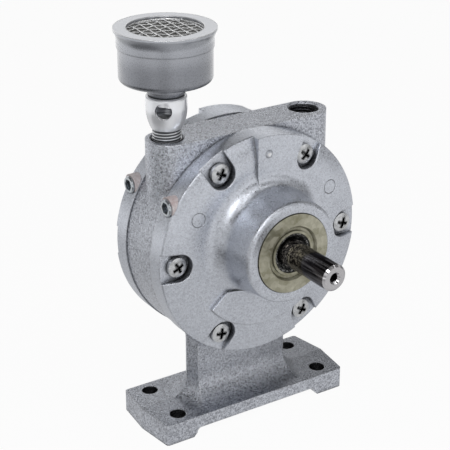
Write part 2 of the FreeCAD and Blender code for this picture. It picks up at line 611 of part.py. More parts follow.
def neck_hollow(owner, name, sign):
    """Cut the neck back to its thickness in front of (sign "-") or behind the casting's middle."""
    side = new_sketch(owner, name + "Sketch", "YZ_Plane", x="-Sizes.casting_lead", z="foot_half")
    add_outline(side, [
        (sign + "cut_edge", "neck_root"),
        (sign + "neck_front_foot", "neck_root"),
        (sign + "neck_front_foot", "foot_thick_edge"),
        (sign + "neck_half_depth", "neck_front_top",
         (sign + "neck_front_foot", "neck_front_top", 1 if sign else -1)),
        (sign + "neck_half_depth", "neck_under_start"),
        (sign + "cut_edge", "neck_under_start"),
    ])
    pocket(owner, name, side, "foot_length")
    ring = new_sketch(owner, name + "RingSketch", "YZ_Plane", x="-Sizes.casting_lead", y="body_height")
    add_outline(ring, [
        (sign + "cut_edge", "bore_radius"),
        (sign + "ring_half_depth", "bore_radius"),
        (sign + "ring_half_depth", "ring_radius"),
        (sign + "neck_half_depth", "neck_ring_end",
         (sign + "ring_half_depth", "neck_ring_end", 1 if sign else -1)),
        (sign + "neck_half_depth", "neck_clear"),
        (sign + "cut_edge", "neck_clear"),
    ])
    groove(owner, name + "Ring", ring, "H_Axis")


def make_motor_body():
    body = new_body("motor_body")
    sections = []
    for name, place, tag in (
        ("NeckFront", "foot_half_depth", "_edge"),
        ("NeckMiddle", None, ""),
        ("NeckRear", "-foot_half_depth", "_edge"),
    ):
        section = new_sketch(body, name, "XZ_Plane", z=place)
        flare, half, arc = ("neck_flare" + tag, "neck_half" + tag, "neck_ring_x" + tag)
        low, touch = ("neck_ring_z" + tag, "neck_touch_z" + tag)
        add_outline(section, [
            ("-" + flare, "neck_root"),
            (flare, "neck_root"),
            (flare, "foot_thick_edge"),
            (half, "neck_side_top", (flare, "neck_side_top", -1)),
            (half, low),
            ("neck_touch_x" + tag, touch, (arc, low, -1)),
            ("-neck_touch_x" + tag, touch),
            ("-" + half, low, ("-" + arc, low, -1)),
            ("-" + half, "neck_side_top"),
            ("-" + flare, "foot_thick_edge", ("-" + flare, "neck_side_top", -1)),
        ])
        sections.append(section)
    loft(body, "Neck", sections, ruled=True)
    neck_hollow(body, "FrontHollow", "-")
    neck_hollow(body, "RearHollow", "")
    ring = new_sketch(body, "RingSketch", "XZ_Plane", y="body_height", z="front_joint")
    add_circle(ring, "0", "0", "ring_radius")
    pad(body, "Ring", ring, "casting_depth", backwards=True)
    bar = new_sketch(body, "BarSketch", "XZ_Plane", z="front_joint")
    add_outline(bar, [
        ("-port_spread", "body_height"),
        ("port_spread", "body_height"),
        ("port_spread", "port_level"),
        ("-port_spread", "port_level"),
    ])
    pad(body, "Bar", bar, "bar_depth", backwards=True)
    bosses = new_sketch(
        body, "BossSketch", "XY_Plane", y="-Sizes.casting_lead - Sizes.bar_step / 2", z="body_height"
    )
    add_circle(bosses, "-port_spread", "0", "boss_radius")
    add_circle(bosses, "port_spread", "0", "boss_radius")
    pad(body, "PortBosses", bosses, "Places.port_level - Places.body_height")

    sections = []
    for name, place, half, height in (
        ("FootFront", "foot_half_depth", "foot_half_edge", "foot_thick_edge"),
        ("FootMiddle", None, "foot_half", "foot_thick"),
        ("FootRear", "-foot_half_depth", "foot_half_edge", "foot_thick_edge"),
    ):
        section = new_sketch(body, name, "XZ_Plane", z=place)
        add_outline(section, [
            ("-" + half, "-foot_stock"),
            (half, "-foot_stock"),
            (half, height),
            ("-" + half, height),
        ])
        sections.append(section)
    loft(body, "Foot", sections, ruled=True)
    underside = new_sketch(body, "UndersideSketch", "XY_Plane")
    add_outline(underside, [
        ("-foot_length", "-cut_edge"),
        ("foot_length", "-cut_edge"),
        ("foot_length", "cut_edge"),
        ("-foot_length", "cut_edge"),
    ])
    pocket(body, "Underside", underside, "cut_edge")
    half, depth = val("foot_half_edge"), val("foot_half_depth")
    dress(body, "Fillet", "FootCorners", "foot_corner", lambda edge: all(
        abs(abs(end.X) - half) < 1e-4 and abs(abs(end.Y) - depth) < 1e-4 for end in edge.Vertexes
    ) and abs(edge.Vertexes[0].Z - edge.Vertexes[-1].Z) > 1)
    relief = new_sketch(body, "ReliefSketch", "XZ_Plane", z="foot_half_depth")
    add_outline(relief, [
        ("-relief_mouth", "0"),
        ("relief_mouth", "0"),
        ("relief_half", "relief_low"),
        ("relief_inner", "relief_height", ("relief_inner", "relief_low", 1)),
        ("-relief_inner", "relief_height"),
        ("-relief_half", "relief_low", ("-relief_inner", "relief_low", 1)),
    ])
    pocket(body, "FootRelief", relief, "cut_edge")
    holes = new_sketch(body, "FootHoleSketch", "XY_Plane", z="foot_thick")
    for x in ("-foot_hole_x", "foot_hole_x"):
        for y in ("-foot_hole_y", "foot_hole_y"):
            add_circle(holes, x, y, "foot_hole_radius")
    pocket(body, "FootHoles", holes, "foot_thick")

    bore = new_sketch(body, "BoreSketch", "XZ_Plane", y="body_height", z="front_joint")
    add_circle(bore, "0", "0", "bore_radius")
    pocket(body, "Bore", bore, "casting_depth")
    for side, backwards in (("front", False), ("rear", True)):
        screw = new_sketch(body, side + "TappedSketch", "XZ_Plane", y="body_height", z=side + "_joint")
        add_circle(screw, "screw_ring", "0", "screw_tapped")
        hole = pocket(body, side + "TappedHole", screw, "screw_hole_depth", backwards)
        polar(body, side + "TappedHoles", [hole], screw, "screw_count")
        pin = new_sketch(
            body, side + "DowelSketch", "XZ_Plane", y="body_height", z=side + "_joint", turn="dowel_angle"
        )
        add_circle(pin, "screw_ring", "0", "dowel_hole")
        hole = pocket(body, side + "DowelHole", pin, "dowel_hole_depth", backwards)
        polar(body, side + "DowelHoles", [hole], pin, "dowel_count")
    ports = new_sketch(body, "PassageSketch", "XY_Plane", y="-Sizes.casting_lead", z="port_level")
    add_circle(ports, "-port_spread", "0", "passage_radius")
    add_circle(ports, "port_spread", "0", "passage_radius")
    pocket(body, "Passages", ports, "passage_end")
    ports = new_sketch(body, "PortSketch", "XY_Plane", y="-Sizes.casting_lead", z="port_level")
    add_circle(ports, "-port_spread", "0", "port_radius")
    add_circle(ports, "port_spread", "0", "port_radius")
    pocket(body, "Ports", ports, "port_depth")
    face, radius = val("port_level"), val("port_radius")
    dress(body, "Chamfer", "PortMouths", "port_sink", lambda edge: (
        isinstance(edge.Curve, Part.Circle)
        and abs(edge.Curve.Radius - radius) < 1e-4
        and abs(edge.Curve.Center.z - face) < 1e-4
    ))
    return body


# The end caps. Both have the same rim, dome, lands, hub and screw pockets.


def on_side(side, out):
    """Plane of a cap, measured in front of the foot's middle, for a distance out from its joint."""
    return "Places.%s_joint %s %s" % (side, "+" if side == "front" else "-", bound(out))


def make_cap(side):
    body = new_body(side + "_cap")
    out = "-" if side == "front" else ""
    outward = side == "front"
    joint = "-Places.%s_joint" % side

    lands = new_sketch(body, "LandSketch", "YZ_Plane", x=joint, y="shaft_height")
    add_outline(lands, [
        ("0", "0"),
        ("0", "land_span"),
        (out + "land_out", "land_span"),
        (out + "land_out", "land_edge"),
        (out + "land_turn", "land_foot", (out + "land_turn", "land_edge", 1 if out == "" else -1)),
        (out + "land_turn", "0"),
    ])
    revolve(body, "Lands", lands, "H_Axis")
    ring = new_sketch(body, "LandTrimSketch", "XZ_Plane", y="body_height", z=side + "_joint")
    add_circle(ring, "0", "0", "cap_radius")
    add_circle(ring, "0", "0", "outside")
    pocket(body, "LandTrim", ring, "land_turn", outward)
    around = new_sketch(body, "LandOutlineSketch", "XZ_Plane", y="body_height", z=side + "_joint")
    left, right = ("-panel_left", "panel_right")
    add_outline(around, [
        (left, "outside"),
        (left, "0"),
        ("-lens_inner", "-lens_top"),
        ("-lens_shoulder", "-lens_top"),
        ("-lens_half", "-lens_drop"),
        ("lens_half", "-lens_drop", ("0", "0", 1)),
        ("lens_shoulder", "-lens_top"),
        ("lens_inner", "-lens_top"),
        (right, "0"),
        (right, "outside"),
        ("outside", "outside"),
        ("outside", "-outside"),
        ("-outside", "-outside"),
        ("-outside", "outside"),
    ])
    pocket(body, "LandOutline", around, "land_turn", outward)

    dome = new_sketch(body, "DomeSketch", "YZ_Plane", x=joint, y="body_height")
    add_outline(dome, [
        ("0", "0"),
        ("0", "cap_radius"),
        (out + "rim_side", "cap_radius"),
        (out + "cap_rim", "rim_inner", (out + "rim_side", "rim_inner", 1 if out else -1)),
        (out + "dome_out", "flat_radius", (out + "dome_centre", "flat_radius", 1 if out else -1)),
        (out + "dome_out", "0"),
    ])
    revolve(body, "Dome", dome, "H_Axis")
    hub = new_sketch(body, "HubSketch", "YZ_Plane", x=joint, y="shaft_height")
    add_outline(hub, [
        ("0", "0"),
        ("0", "bell_edge"),
        (out + "dome_out", "bell_edge"),
        (out + "bell_turn", "hub_foot", (out + "bell_turn", "bell_edge", -1 if out else 1)),
        (out + side + "_hub_side", "hub_radius"),
        (out + side + "_hub_out", "hub_face", (out + side + "_hub_side", "hub_face", 1 if out else -1)),
        (out + side + "_hub_out", "0"),
    ])
    revolve(body, "Hub", hub, "H_Axis")

    well = new_sketch(body, "PocketSketch", "XZ_Plane", y="body_height", z=on_side(side, "pocket_out"))
    add_outline(well, [
        ("screw_ring", "pocket_radius"),
        ("screw_ring", "-pocket_radius", ("screw_ring", "0", 1)),
        ("pocket_open", "-pocket_flare"),
        ("pocket_open", "pocket_flare"),
    ])
    well_cut = pocket(body, "Pocket", well, side + "_hub_length", outward)
    hole = new_sketch(body, "ScrewHoleSketch", "XZ_Plane", y="body_height", z=side + "_joint")
    add_circle(hole, "screw_ring", "0", "screw_clear")
    hole_cut = pocket(body, "ScrewHole", hole, "pocket_out", outward)
    polar(body, "Pockets", [well_cut, hole_cut], hole, "screw_count")

    face = on_side(side, side + "_hub_out")
    seat = new_sketch(body, "BearingSeatSketch", "XZ_Plane", y="shaft_height", z=face)
    add_circle(seat, "0", "0", "bearing_seat")
    pocket(body, "BearingSeat", seat, side + "_seat_depth", not outward)
    if side == "front":
        seat = new_sketch(body, "SealSeatSketch", "XZ_Plane", y="shaft_height", z=face)
        add_circle(seat, "0", "0", "seal_seat")
        pocket(body, "SealSeat", seat, "seal_seat_depth", not outward)
    way = new_sketch(body, "ShaftHoleSketch", "XZ_Plane", y="shaft_height", z=side + "_joint")
    add_circle(way, "0", "0", "shaft_hole")
    pocket(body, "ShaftHole", way, "bearing_out", outward)

    pin = new_sketch(body, "DowelSketch", "XZ_Plane", y="body_height", z=side + "_joint", turn="dowel_angle")
    add_circle(pin, "screw_ring", "0", "dowel_hole")
    pin_cut = pocket(body, "DowelHole", pin, "dowel_hole_depth", outward)
    polar(body, "DowelHoles", [pin_cut], pin, "dowel_count")
    plug = new_sketch(
        body, "PlugHoleSketch", "YZ_Plane", x=plug_place(side), y="plug_level", z="-cap_radius"
    )
    add_circle(plug, "0", "0", "plug_hole")
    pocket(body, "PlugHole", plug, "plug_hole_depth", backwards=True)
    return body


def plug_place(side):
    """The plug's place along Y."""
    return "-(%s)" % on_side(side, "plug_out")


# Rotor, vanes and shaft.


def make_rotor():
    body = new_body("rotor")
    disc = new_sketch(body, "RotorSketch", "XZ_Plane", y="shaft_height", z="rotor_front")
    add_circle(disc, "0", "0", "rotor_radius")
    add_circle(disc, "0", "0", "rotor_seat")
    pad(body, "Rotor", disc, "rotor_length", backwards=True)
    slot = new_sketch(body, "SlotSketch", "XZ_Plane", y="shaft_height", z="rotor_front", turn="vane_angle")
    add_outline(slot, [
        ("slot_floor", "-slot_half"),
        ("slot_open", "-slot_half"),
        ("slot_open", "slot_half"),
        ("slot_floor", "slot_half"),
    ])
    slot_cut = pocket(body, "Slot", slot, "rotor_length")
    polar(body, "Slots", [slot_cut], slot, "vane_count")
    return body


def make_vane(number):
    """A vane in its slot, its tip just under the rotor's skin."""
    body = new_body("vane_%d" % number)
    turn = "Sizes.vane_angle + 360 * %d / Sizes.vane_count" % (number - 1)
    outline = new_sketch(body, "VaneSketch", "XZ_Plane", y="shaft_height", z="rotor_front", turn=turn)
    add_outline(outline, [
        ("vane_root", "-vane_half"),
        ("vane_shoulder", "-vane_half"),
        ("vane_shoulder", "vane_half", ("vane_centre", "0", 1)),
        ("vane_root", "vane_half"),
    ])
    pad(body, "Vane", outline, "rotor_length", backwards=True)
    return body


def make_shaft():
    body = new_body("shaft")
    outline = new_sketch(body, "ShaftSketch", "YZ_Plane", y="shaft_height")
    add_outline(outline, [
        ("-centre_tip", "0"),
        ("-centre_floor", "centre_hole"),
        ("-centre_taper", "centre_hole"),
        ("-shaft_end", "centre_mouth"),
        ("-shaft_end", "shaft_face"),
        ("-chamfer_start", "shaft_radius"),
        ("-output_start", "shaft_radius"),
        ("-output_start", "seal_journal"),
        ("-shaft_step", "seal_journal"),
        ("-shaft_step", "journal_radius"),
        ("-core_front", "journal_radius"),
        ("-core_front", "core_radius"),
        ("core_rear", "core_radius"),
        ("core_rear", "journal_radius"),
        ("shaft_rear", "journal_radius"),
        ("shaft_rear", "0"),
    ])
    revolve(body, "Shaft", outline, "H_Axis")
    return body


# Ball bearings, one in each cap.


def make_bearing(side):
    middle = "-Places.%s_bearing" % side
    made = []
    outer = new_body(side + "_bearing_outer_ring")
    outline = new_sketch(outer, "OuterRingSketch", "YZ_Plane", x=middle, y="shaft_height")
    add_outline(outline, [
        ("-bearing_half", "outer_land"),
        ("-outer_groove_half", "outer_land"),
        ("outer_groove_half", "outer_land", ("0", "ball_pitch", -1)),
        ("bearing_half", "outer_land"),
        ("bearing_half", "bearing_radius"),
        ("-bearing_half", "bearing_radius"),
    ])
    revolve(outer, "OuterRing", outline, "H_Axis")
    made.append(outer)

    inner = new_body(side + "_bearing_inner_ring")
    outline = new_sketch(inner, "InnerRingSketch", "YZ_Plane", x=middle, y="shaft_height")
    add_outline(outline, [
        ("-bearing_half", "journal_seat"),
        ("bearing_half", "journal_seat"),
        ("bearing_half", "inner_land"),
        ("inner_groove_half", "inner_land"),
        ("-inner_groove_half", "inner_land", ("0", "ball_pitch", -1)),
        ("-bearing_half", "inner_land"),
    ])
    revolve(inner, "InnerRing", outline, "H_Axis")
    made.append(inner)

    cage = new_body(side + "_bearing_cage")
    outline = new_sketch(cage, "CageSketch", "YZ_Plane", x=middle, y="shaft_height")
    add_outline(outline, [
        ("-cage_half", "cage_inner"),
        ("cage_half", "cage_inner"),
        ("cage_half", "cage_outer"),
        ("-cage_half", "cage_outer"),
    ])
    revolve(cage, "Cage", outline, "H_Axis")
    window = new_sketch(cage, "WindowSketch", "YZ_Plane", x=middle, y="shaft_height", z="cage_depth")
    add_circle(window, "0", "0", "cage_window")
    window_cut = pocket(cage, "Window", window, "cage_depth")
    polar(cage, "Windows", [window_cut], outline, "ball_count", axis="H_Axis")
    made.append(cage)

    balls = []
    for number in range(int(val("ball_count"))):
        ball = doc.addObject("Part::Sphere", "%s_ball_%d" % (side, number + 1))
        ball.setExpression("Radius", bound("ball_radius"))
        angle = "360 * %d / Sizes.ball_count" % number
        ball.setExpression("Placement.Base.x", "Sizes.ball_pitch * cos(%s)" % angle)
        ball.setExpression("Placement.Base.y", middle)
        ball.setExpression("Placement.Base.z", "Sizes.shaft_height + Sizes.ball_pitch * sin(%s)" % angle)
        balls.append(ball)
    group = doc.addObject("Part::Compound", side + "_bearing_balls")
    group.Links = balls
    group.Label = side + "_bearing_balls"
    made.append(group)
    return made


# Shaft seal in the front hub, cover and spring washer in the rear one.


def make_seal():
    case = new_body("seal_case")
    outline = new_sketch(case, "CaseSketch", "YZ_Plane", x="-seal_face", y="shaft_height")
    add_outline(outline, [
        ("0", "seal_radius"),
        ("0", "seal_step"),
        ("seal_step_depth", "seal_web"),
        ("seal_step_depth", "seal_bead"),
        ("seal_bead_depth", "seal_bead"),
        ("seal_bead_depth", "seal_bead_in"),
        ("seal_back", "seal_bead_in"),
        ("seal_back", "seal_web"),
        ("seal_wall", "seal_step"),
        ("seal_wall", "seal_inner"),
        ("seal_depth", "seal_inner"),
        ("seal_depth", "seal_radius"),
    ])
    revolve(case, "Case", outline, "H_Axis")
    lip = new_body("seal_lip")
    outline = new_sketch(lip, "LipSketch", "YZ_Plane", x="-seal_face", y="shaft_height")
    add_outline(outline, [
        ("lip_face", "lip_outer"),
        ("lip_face", "lip_mouth"),
        ("lip_edge", "lip_bore"),
        ("lip_edge_end", "lip_bore"),
        ("lip_back", "lip_heel"),
        ("lip_back", "lip_outer"),
    ])
    revolve(lip, "Lip", outline, "H_Axis")
    spring = new_body("seal_spring")
    section = new_sketch(spring, "SpringSketch", "YZ_Plane", x="-seal_face", y="shaft_height")
    add_circle(section, "spring_behind", "spring_ring", "spring_radius")
    revolve(spring, "Spring", section, "H_Axis")
    return [case, lip, spring]


def make_rear_closing():
    cover = new_body("rear_bearing_cover")
    disc = new_sketch(cover, "CoverSketch", "XZ_Plane", y="shaft_height", z=on_side("rear", "cover_inner"))
    add_circle(disc, "0", "0", "cover_radius")
    pad(cover, "Cover", disc, "cover_thick", backwards=True)
    washer = new_body("wave_spring")
    outline = new_sketch(washer, "WasherSketch", "YZ_Plane", x="-Places.rear_joint", y="shaft_height")
    add_outline(outline, [
        ("bearing_end_out", "spring_washer_outer"),
        ("washer_low", "spring_washer_outer"),
        ("cover_inner", "spring_washer_inner"),
        ("washer_high", "spring_washer_inner"),
    ])
    revolve(washer, "Washer", outline, "H_Axis")
    return [cover, washer]


# Fasteners: screws, dowels and the plugs with their sealant.


def make_screw(side, number, cross_turn):
    """A pan head screw, made about its own seat and then put into its pocket."""
    body = new_body("%s_screw_%d" % (side, number))
    outline = new_sketch(body, "ScrewSketch", "YZ_Plane")
    add_outline(outline, [
        ("-screw_head_crown", "0"),
        ("-screw_head_edge", "screw_head_radius", ("crown_centre", "0", -1)),
        ("0", "screw_head_radius"),
        ("0", "screw_radius"),
        ("screw_length", "screw_radius"),
        ("screw_length", "0"),
    ])
    revolve(body, "Screw", outline, "H_Axis")
    cross = new_sketch(body, "CrossSketch", "XZ_Plane", z="screw_head_crown")
    arm, half = "cross_reach", "cross_half"
    add_outline(cross, [
        (arm, "-" + half), (arm, half), (half, half), (half, arm), ("-" + half, arm), ("-" + half, half),
        ("-" + arm, half), ("-" + arm, "-" + half), ("-" + half, "-" + half), ("-" + half, "-" + arm),
        (half, "-" + arm), (half, "-" + half),
    ])
    pocket(body, "Cross", cross, "cross_depth")
    spin = FreeCAD.Rotation(FreeCAD.Vector(0, 1, 0), cross_turn)
    facing = FreeCAD.Rotation(FreeCAD.Vector(0, 0, 1), 0 if side == "front" else 180)
    body.Placement = FreeCAD.Placement(FreeCAD.Vector(), facing * spin)
    angle = "360 * %d / Sizes.screw_count" % (number - 1)
    body.setExpression("Placement.Base.x", "Sizes.screw_ring * cos(%s)" % angle)
    body.setExpression("Placement.Base.y", "-(%s)" % on_side(side, "pocket_out"))
    body.setExpression("Placement.Base.z", "Places.body_height + Sizes.screw_ring * sin(%s)" % angle)
    return body


def make_dowel(side, number):
    pin = doc.addObject("Part::Cylinder", "%s_dowel_%d" % (side, number))
    pin.Label = "%s_dowel_%d" % (side, number)
    pin.setExpression("Radius", bound("dowel_radius"))
    pin.setExpression("Height", bound("dowel_length"))
    pin.Placement = FreeCAD.Placement(FreeCAD.Vector(), FreeCAD.Rotation(FreeCAD.Vector(1, 0, 0), -90))
    angle = "(Sizes.dowel_angle + 360 * %d / Sizes.dowel_count)" % (number - 1)
    pin.setExpression("Placement.Base.x", "Sizes.screw_ring * cos(%s)" % angle)
    pin.setExpression("Placement.Base.y", "-Places.%s_joint - Places.dowel_half" % side)
    pin.setExpression("Placement.Base.z", "Places.body_height + Sizes.screw_ring * sin(%s)" % angle)
    return pin


def make_plug(side):
    plug = new_body(side + "_plug")
    outline = new_sketch(plug, "PlugSketch", "XY_Plane", y=plug_place(side), z="plug_level")
    add_outline(outline, [
        ("-plug_root", "0"),
        ("-plug_root", "plug_radius"),
        ("-plug_face_in", "plug_radius"),
        ("-plug_face", "plug_edge"),
        ("-plug_face", "0"),
    ])
    revolve(plug, "Plug", outline, "H_Axis")
    socket = new_sketch(plug, "HexSketch", "YZ_Plane", x=plug_place(side), y="plug_level", z="-plug_face")
    add_outline(socket, [
        ("hex_corner", "0"),
        ("hex_side", "hex_half"),
        ("-hex_side", "hex_half"),
        ("-hex_corner", "0"),
        ("-hex_side", "-hex_half"),
        ("hex_side", "-hex_half"),
    ])
    pocket(plug, "Hex", socket, "plug_hex_depth", backwards=True)

    collar = new_body(side + "_plug_sealant")
    ring = new_sketch(collar, "SealantSketch", "YZ_Plane", x=plug_place(side), y="plug_level",
                      z="-sealant_face")
    add_circle(ring, "0", "0", "plug_hole")
    add_circle(ring, "0", "0", "sealant_radius")
    pad(collar, "Sealant", ring, "sealant_run")
    rim = new_sketch(collar, "RimSketch", "XZ_Plane", y="body_height", z=sealant_plane(side))
    add_circle(rim, "0", "0", "sealant_cut")
    pocket(collar, "Rim", rim, "sealant_cut_depth")
    return [plug, collar]


def sealant_plane(side):
    """A plane in front of the sealant."""
    return on_side(side, "plug_out") + " + Sizes.sealant_radius * 1.5"


# Muffler, about the left port's axis.


def muffler_sketch(body, name):
    return new_sketch(body, name, "XZ_Plane", x="-port_spread", z="casting_lead")


def make_muffler():
    stem = new_body("muffler_stem")
    outline = muffler_sketch(stem, "StemSketch")
    add_outline(outline, [
        ("stem_bore", "nipple_end"),
        ("nipple_radius", "nipple_end"),
        ("nipple_radius", "port_level"),
        ("nipple_root", "port_level"),
        ("nipple_root", "nipple_top"),
        ("stem_waist", "nipple_top"),
        ("stem_radius", "belly_level", ("belly_centre", "belly_level", 1)),
        ("stem_radius", "stem_shoulder"),
        ("stem_crown", "stem_level", ("stem_crown", "stem_shoulder", 1)),
        ("chamber_radius", "stem_level"),
        ("chamber_radius", "chamber_level"),
        ("stem_bore", "chamber_level"),
    ])
    revolve(stem, "Stem", outline, "V_Axis")
    window = new_sketch(
        stem, "WindowSketch", "XZ_Plane",
        x="-Sizes.port_spread - Places.window_start * sin(Sizes.window_turn)",
        y="window_level",
        z="Sizes.casting_lead + Places.window_start * cos(Sizes.window_turn)",
        swing="-Sizes.window_turn",
    )
    add_circle(window, "0", "0", "window_radius")
    pocket(stem, "Window", window, "window_length")

    tube = new_body("muffler_tube")
    outline = muffler_sketch(tube, "TubeSketch")
    add_outline(outline, [
        ("tube_bore", "tube_level"),
        ("tube_radius", "tube_level"),
        ("tube_radius", "cup_inside_floor"),
        ("tube_bore", "cup_inside_floor"),
    ])
    revolve(tube, "Tube", outline, "V_Axis")

    cup = new_body("muffler_cup")
    outline = muffler_sketch(cup, "CupSketch")
    add_outline(outline, [
        ("tube_seat", "stem_level"),
        ("collar_low", "stem_level"),
        ("collar_radius", "collar_mid"),
        ("collar_radius", "collar_neck"),
        ("collar_wide", "cup_level"),
        ("cup_floor_edge", "cup_level"),
        ("cup_radius", "cup_side_low", ("cup_floor_edge", "cup_side_low", 1)),
        ("cup_radius", "cup_top"),
        ("cup_inner", "cup_top"),
        ("cup_inner", "cup_side_low"),
        ("cup_floor_edge", "cup_inside_floor", ("cup_floor_edge", "cup_side_low", -1)),
        ("tube_seat", "cup_inside_floor"),
    ])
    revolve(cup, "Cup", outline, "V_Axis")

    lid = new_body("muffler_lid")
    outline = muffler_sketch(lid, "LidSketch")
    add_outline(outline, [
        ("lid_inner", "skirt_level"),
        ("lid_skirt_outer", "skirt_level"),
        ("lid_skirt_outer", "flare_level"),
        ("lid_radius", "lid_under", ("flare_centre", "flare_level", -1)),
        ("lid_radius", "lid_level"),
        ("lid_opening", "lid_level"),
        ("lid_opening", "lid_under"),
        ("lid_inner", "lid_under"),
    ])
    revolve(lid, "Lid", outline, "V_Axis")

    felt = new_body("muffler_felt")
    outline = muffler_sketch(felt, "FeltSketch")
    add_outline(outline, [
        ("0", "cup_inside_floor"),
        ("felt_foot", "cup_inside_floor"),
        ("felt_radius", "cup_side_low"),
        ("felt_radius", "cup_top"),
        ("0", "cup_top"),
    ])
    revolve(felt, "Felt", outline, "V_Axis")
    return [stem, tube, cup, lid, felt, make_screen()]


def make_screen():
    """A ring with wires both ways, all cut off at the ring's outside."""
    body = new_body("muffler_screen")
    spot = dict(x="-port_spread", y="-Sizes.casting_lead", z="cup_top", turn="screen_angle")
    ring = new_sketch(body, "ScreenRingSketch", "XY_Plane", **spot)
    add_circle(ring, "0", "0", "lid_opening")
    add_circle(ring, "0", "0", "screen_radius")
    pad(body, "ScreenRing", ring, "screen_thick")
    for name, axis, corner in (
        ("Across", "H_Axis", lambda along, side: (along, side)),
        ("Along", "V_Axis", lambda along, side: (side, along)),
    ):
        wire = new_sketch(body, name + "Sketch", "XY_Plane", **spot)
        add_outline(wire, [
            corner("wire_low", "-wire_half"),
            corner("wire_high", "-wire_half"),
            corner("wire_high", "wire_half"),
            corner("wire_low", "wire_half"),
        ])
        first = pad(body, name, wire, "screen_thick")
        row(body, name + "Row", first, wire, axis, "wires_span", "screen_count")
    trim = new_sketch(body, "ScreenTrimSketch", "XY_Plane", x=spot["x"], y=spot["y"], z="lid_under")
    add_circle(trim, "0", "0", "screen_radius")
    add_circle(trim, "0", "0", "screen_outside")
    pocket(body, "ScreenTrim", trim, "screen_thick")
    return body


CROSS_TURNS = {"front": (18, 40, 25, 62, 8, 30), "rear": (55, 12, 71, 33, 5, 48)}

pieces = [make_motor_body(), make_cap("front"), make_cap("rear"), make_rotor(), make_shaft()]
for vane in range(int(val("vane_count"))):
    pieces.append(make_vane(vane + 1))
pieces += make_seal() + make_rear_closing() + make_muffler()
for end in ("front", "rear"):
    pieces += make_bearing(end) + make_plug(end)
    for screw in range(int(val("screw_count"))):
        turns = CROSS_TURNS[end]
        pieces.append(make_screw(end, screw + 1, turns[screw % len(turns)]))
    for dowel in range(int(val("dowel_count"))):
        pieces.append(make_dowel(end, dowel + 1))

doc.recompute()
for item in doc.Objects:
    if "Invalid" in item.State or "Error" in item.State:
        raise RuntimeError("%s failed: %s" % (item.Label, item.State))
for item in pieces:
    if item.Shape.isNull() or not item.Shape.isValid() or not item.Shape.Solids:
        raise RuntimeError("%s has no sound shape" % item.Label)

os.makedirs("parts", exist_ok=True)
for item in pieces:
    item.Shape.exportStep("parts/%s.step" % item.Label)
    print("%-28s solids %d volume %.1f" % (item.Label, len(item.Shape.Solids), item.Shape.Volume))
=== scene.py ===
import bpy
import numpy as np
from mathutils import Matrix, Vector


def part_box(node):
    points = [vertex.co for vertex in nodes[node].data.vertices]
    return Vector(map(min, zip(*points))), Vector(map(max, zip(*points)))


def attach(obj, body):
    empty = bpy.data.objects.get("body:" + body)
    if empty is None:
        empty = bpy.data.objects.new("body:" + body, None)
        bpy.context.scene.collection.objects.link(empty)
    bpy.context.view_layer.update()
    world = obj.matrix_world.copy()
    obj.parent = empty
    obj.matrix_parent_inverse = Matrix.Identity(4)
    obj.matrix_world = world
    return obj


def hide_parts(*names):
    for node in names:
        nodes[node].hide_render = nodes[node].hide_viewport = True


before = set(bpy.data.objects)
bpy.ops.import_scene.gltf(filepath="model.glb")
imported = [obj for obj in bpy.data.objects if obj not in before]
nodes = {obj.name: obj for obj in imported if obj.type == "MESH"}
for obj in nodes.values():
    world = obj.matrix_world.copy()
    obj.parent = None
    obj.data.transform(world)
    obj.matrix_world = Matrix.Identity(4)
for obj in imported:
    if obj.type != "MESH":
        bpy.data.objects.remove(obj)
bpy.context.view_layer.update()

# The foot and ring body is one sand casting in light grey alloy, left rough from the mould and shot blasted.
# Its joint faces, port tops and foot holes are machined after casting. Its edges have a painted highlight, and
# painted shade darkens the neck and the top of the foot, most at the right, and the insides of the foot holes and
# the open port.


def add(tree, kind, inputs=(), **settings):
    """A shader node with its settings; an input given as a socket is linked, any other is a plain value."""
    made = tree.nodes.new(kind)
    for word, value in settings.items():
        setattr(made, word, value)
    for slot, value in dict(inputs).items():
        if isinstance(value, bpy.types.NodeSocket):
            tree.links.new(value, made.inputs[slot])
        else:
            made.inputs[slot].default_value = value
    return made


def maths(tree, what, *terms, clamp=False):
    """The result of one sum on numbers or sockets."""
    return add(tree, "ShaderNodeMath", enumerate(terms), operation=what, use_clamp=clamp).outputs[0]


def times(tree, first, *others):
    """The product of numbers or sockets."""
    for other in others:
        first = maths(tree, "MULTIPLY", first, other)
    return first


def weighted(tree, first, share, second):
    """The first number with this share and the second with the rest."""
    return maths(tree, "ADD", times(tree, first, share), times(tree, second, 1.0 - share))


def ramp(tree, value, start, stop, low=0.0, high=1.0, smooth=False):
    """A number that goes from low to high while a value goes from start to stop, evenly or with soft ends."""
    ends = {"Value": value, "From Min": start, "From Max": stop, "To Min": low, "To Max": high}
    kind = "SMOOTHSTEP" if smooth else "LINEAR"
    return add(tree, "ShaderNodeMapRange", ends, interpolation_type=kind).outputs["Result"]


def object_place(tree):
    """Where a point of the surface is in the object's own frame, in metres."""
    return tree.nodes.new("ShaderNodeTexCoord").outputs["Object"]


def along(tree, place, axis):
    """One of a place's three coordinates."""
    return add(tree, "ShaderNodeSeparateXYZ", {0: place}).outputs[axis]


def distance(tree, place, point):
    """How far a place is from a point."""
    return add(tree, "ShaderNodeVectorMath", {0: place, 1: point}, operation="DISTANCE").outputs["Value"]


def from_line(tree, place, axis, through):
    """How far a place is from a line along an axis; the point that it goes through is 0 on that axis."""
    kept = tuple(0.0 if letter == axis else 1.0 for letter in "XYZ")
    flat = add(tree, "ShaderNodeVectorMath", {0: place, 1: kept}, operation="MULTIPLY").outputs[0]
    return distance(tree, flat, through)


def inside(tree, apart, radius):
    """A mask of 1 within a radius that falls to 0 over a tenth of a millimetre."""
    blur = 0.0001
    return maths(tree, "DIVIDE", maths(tree, "SUBTRACT", radius + blur, apart), blur, clamp=True)


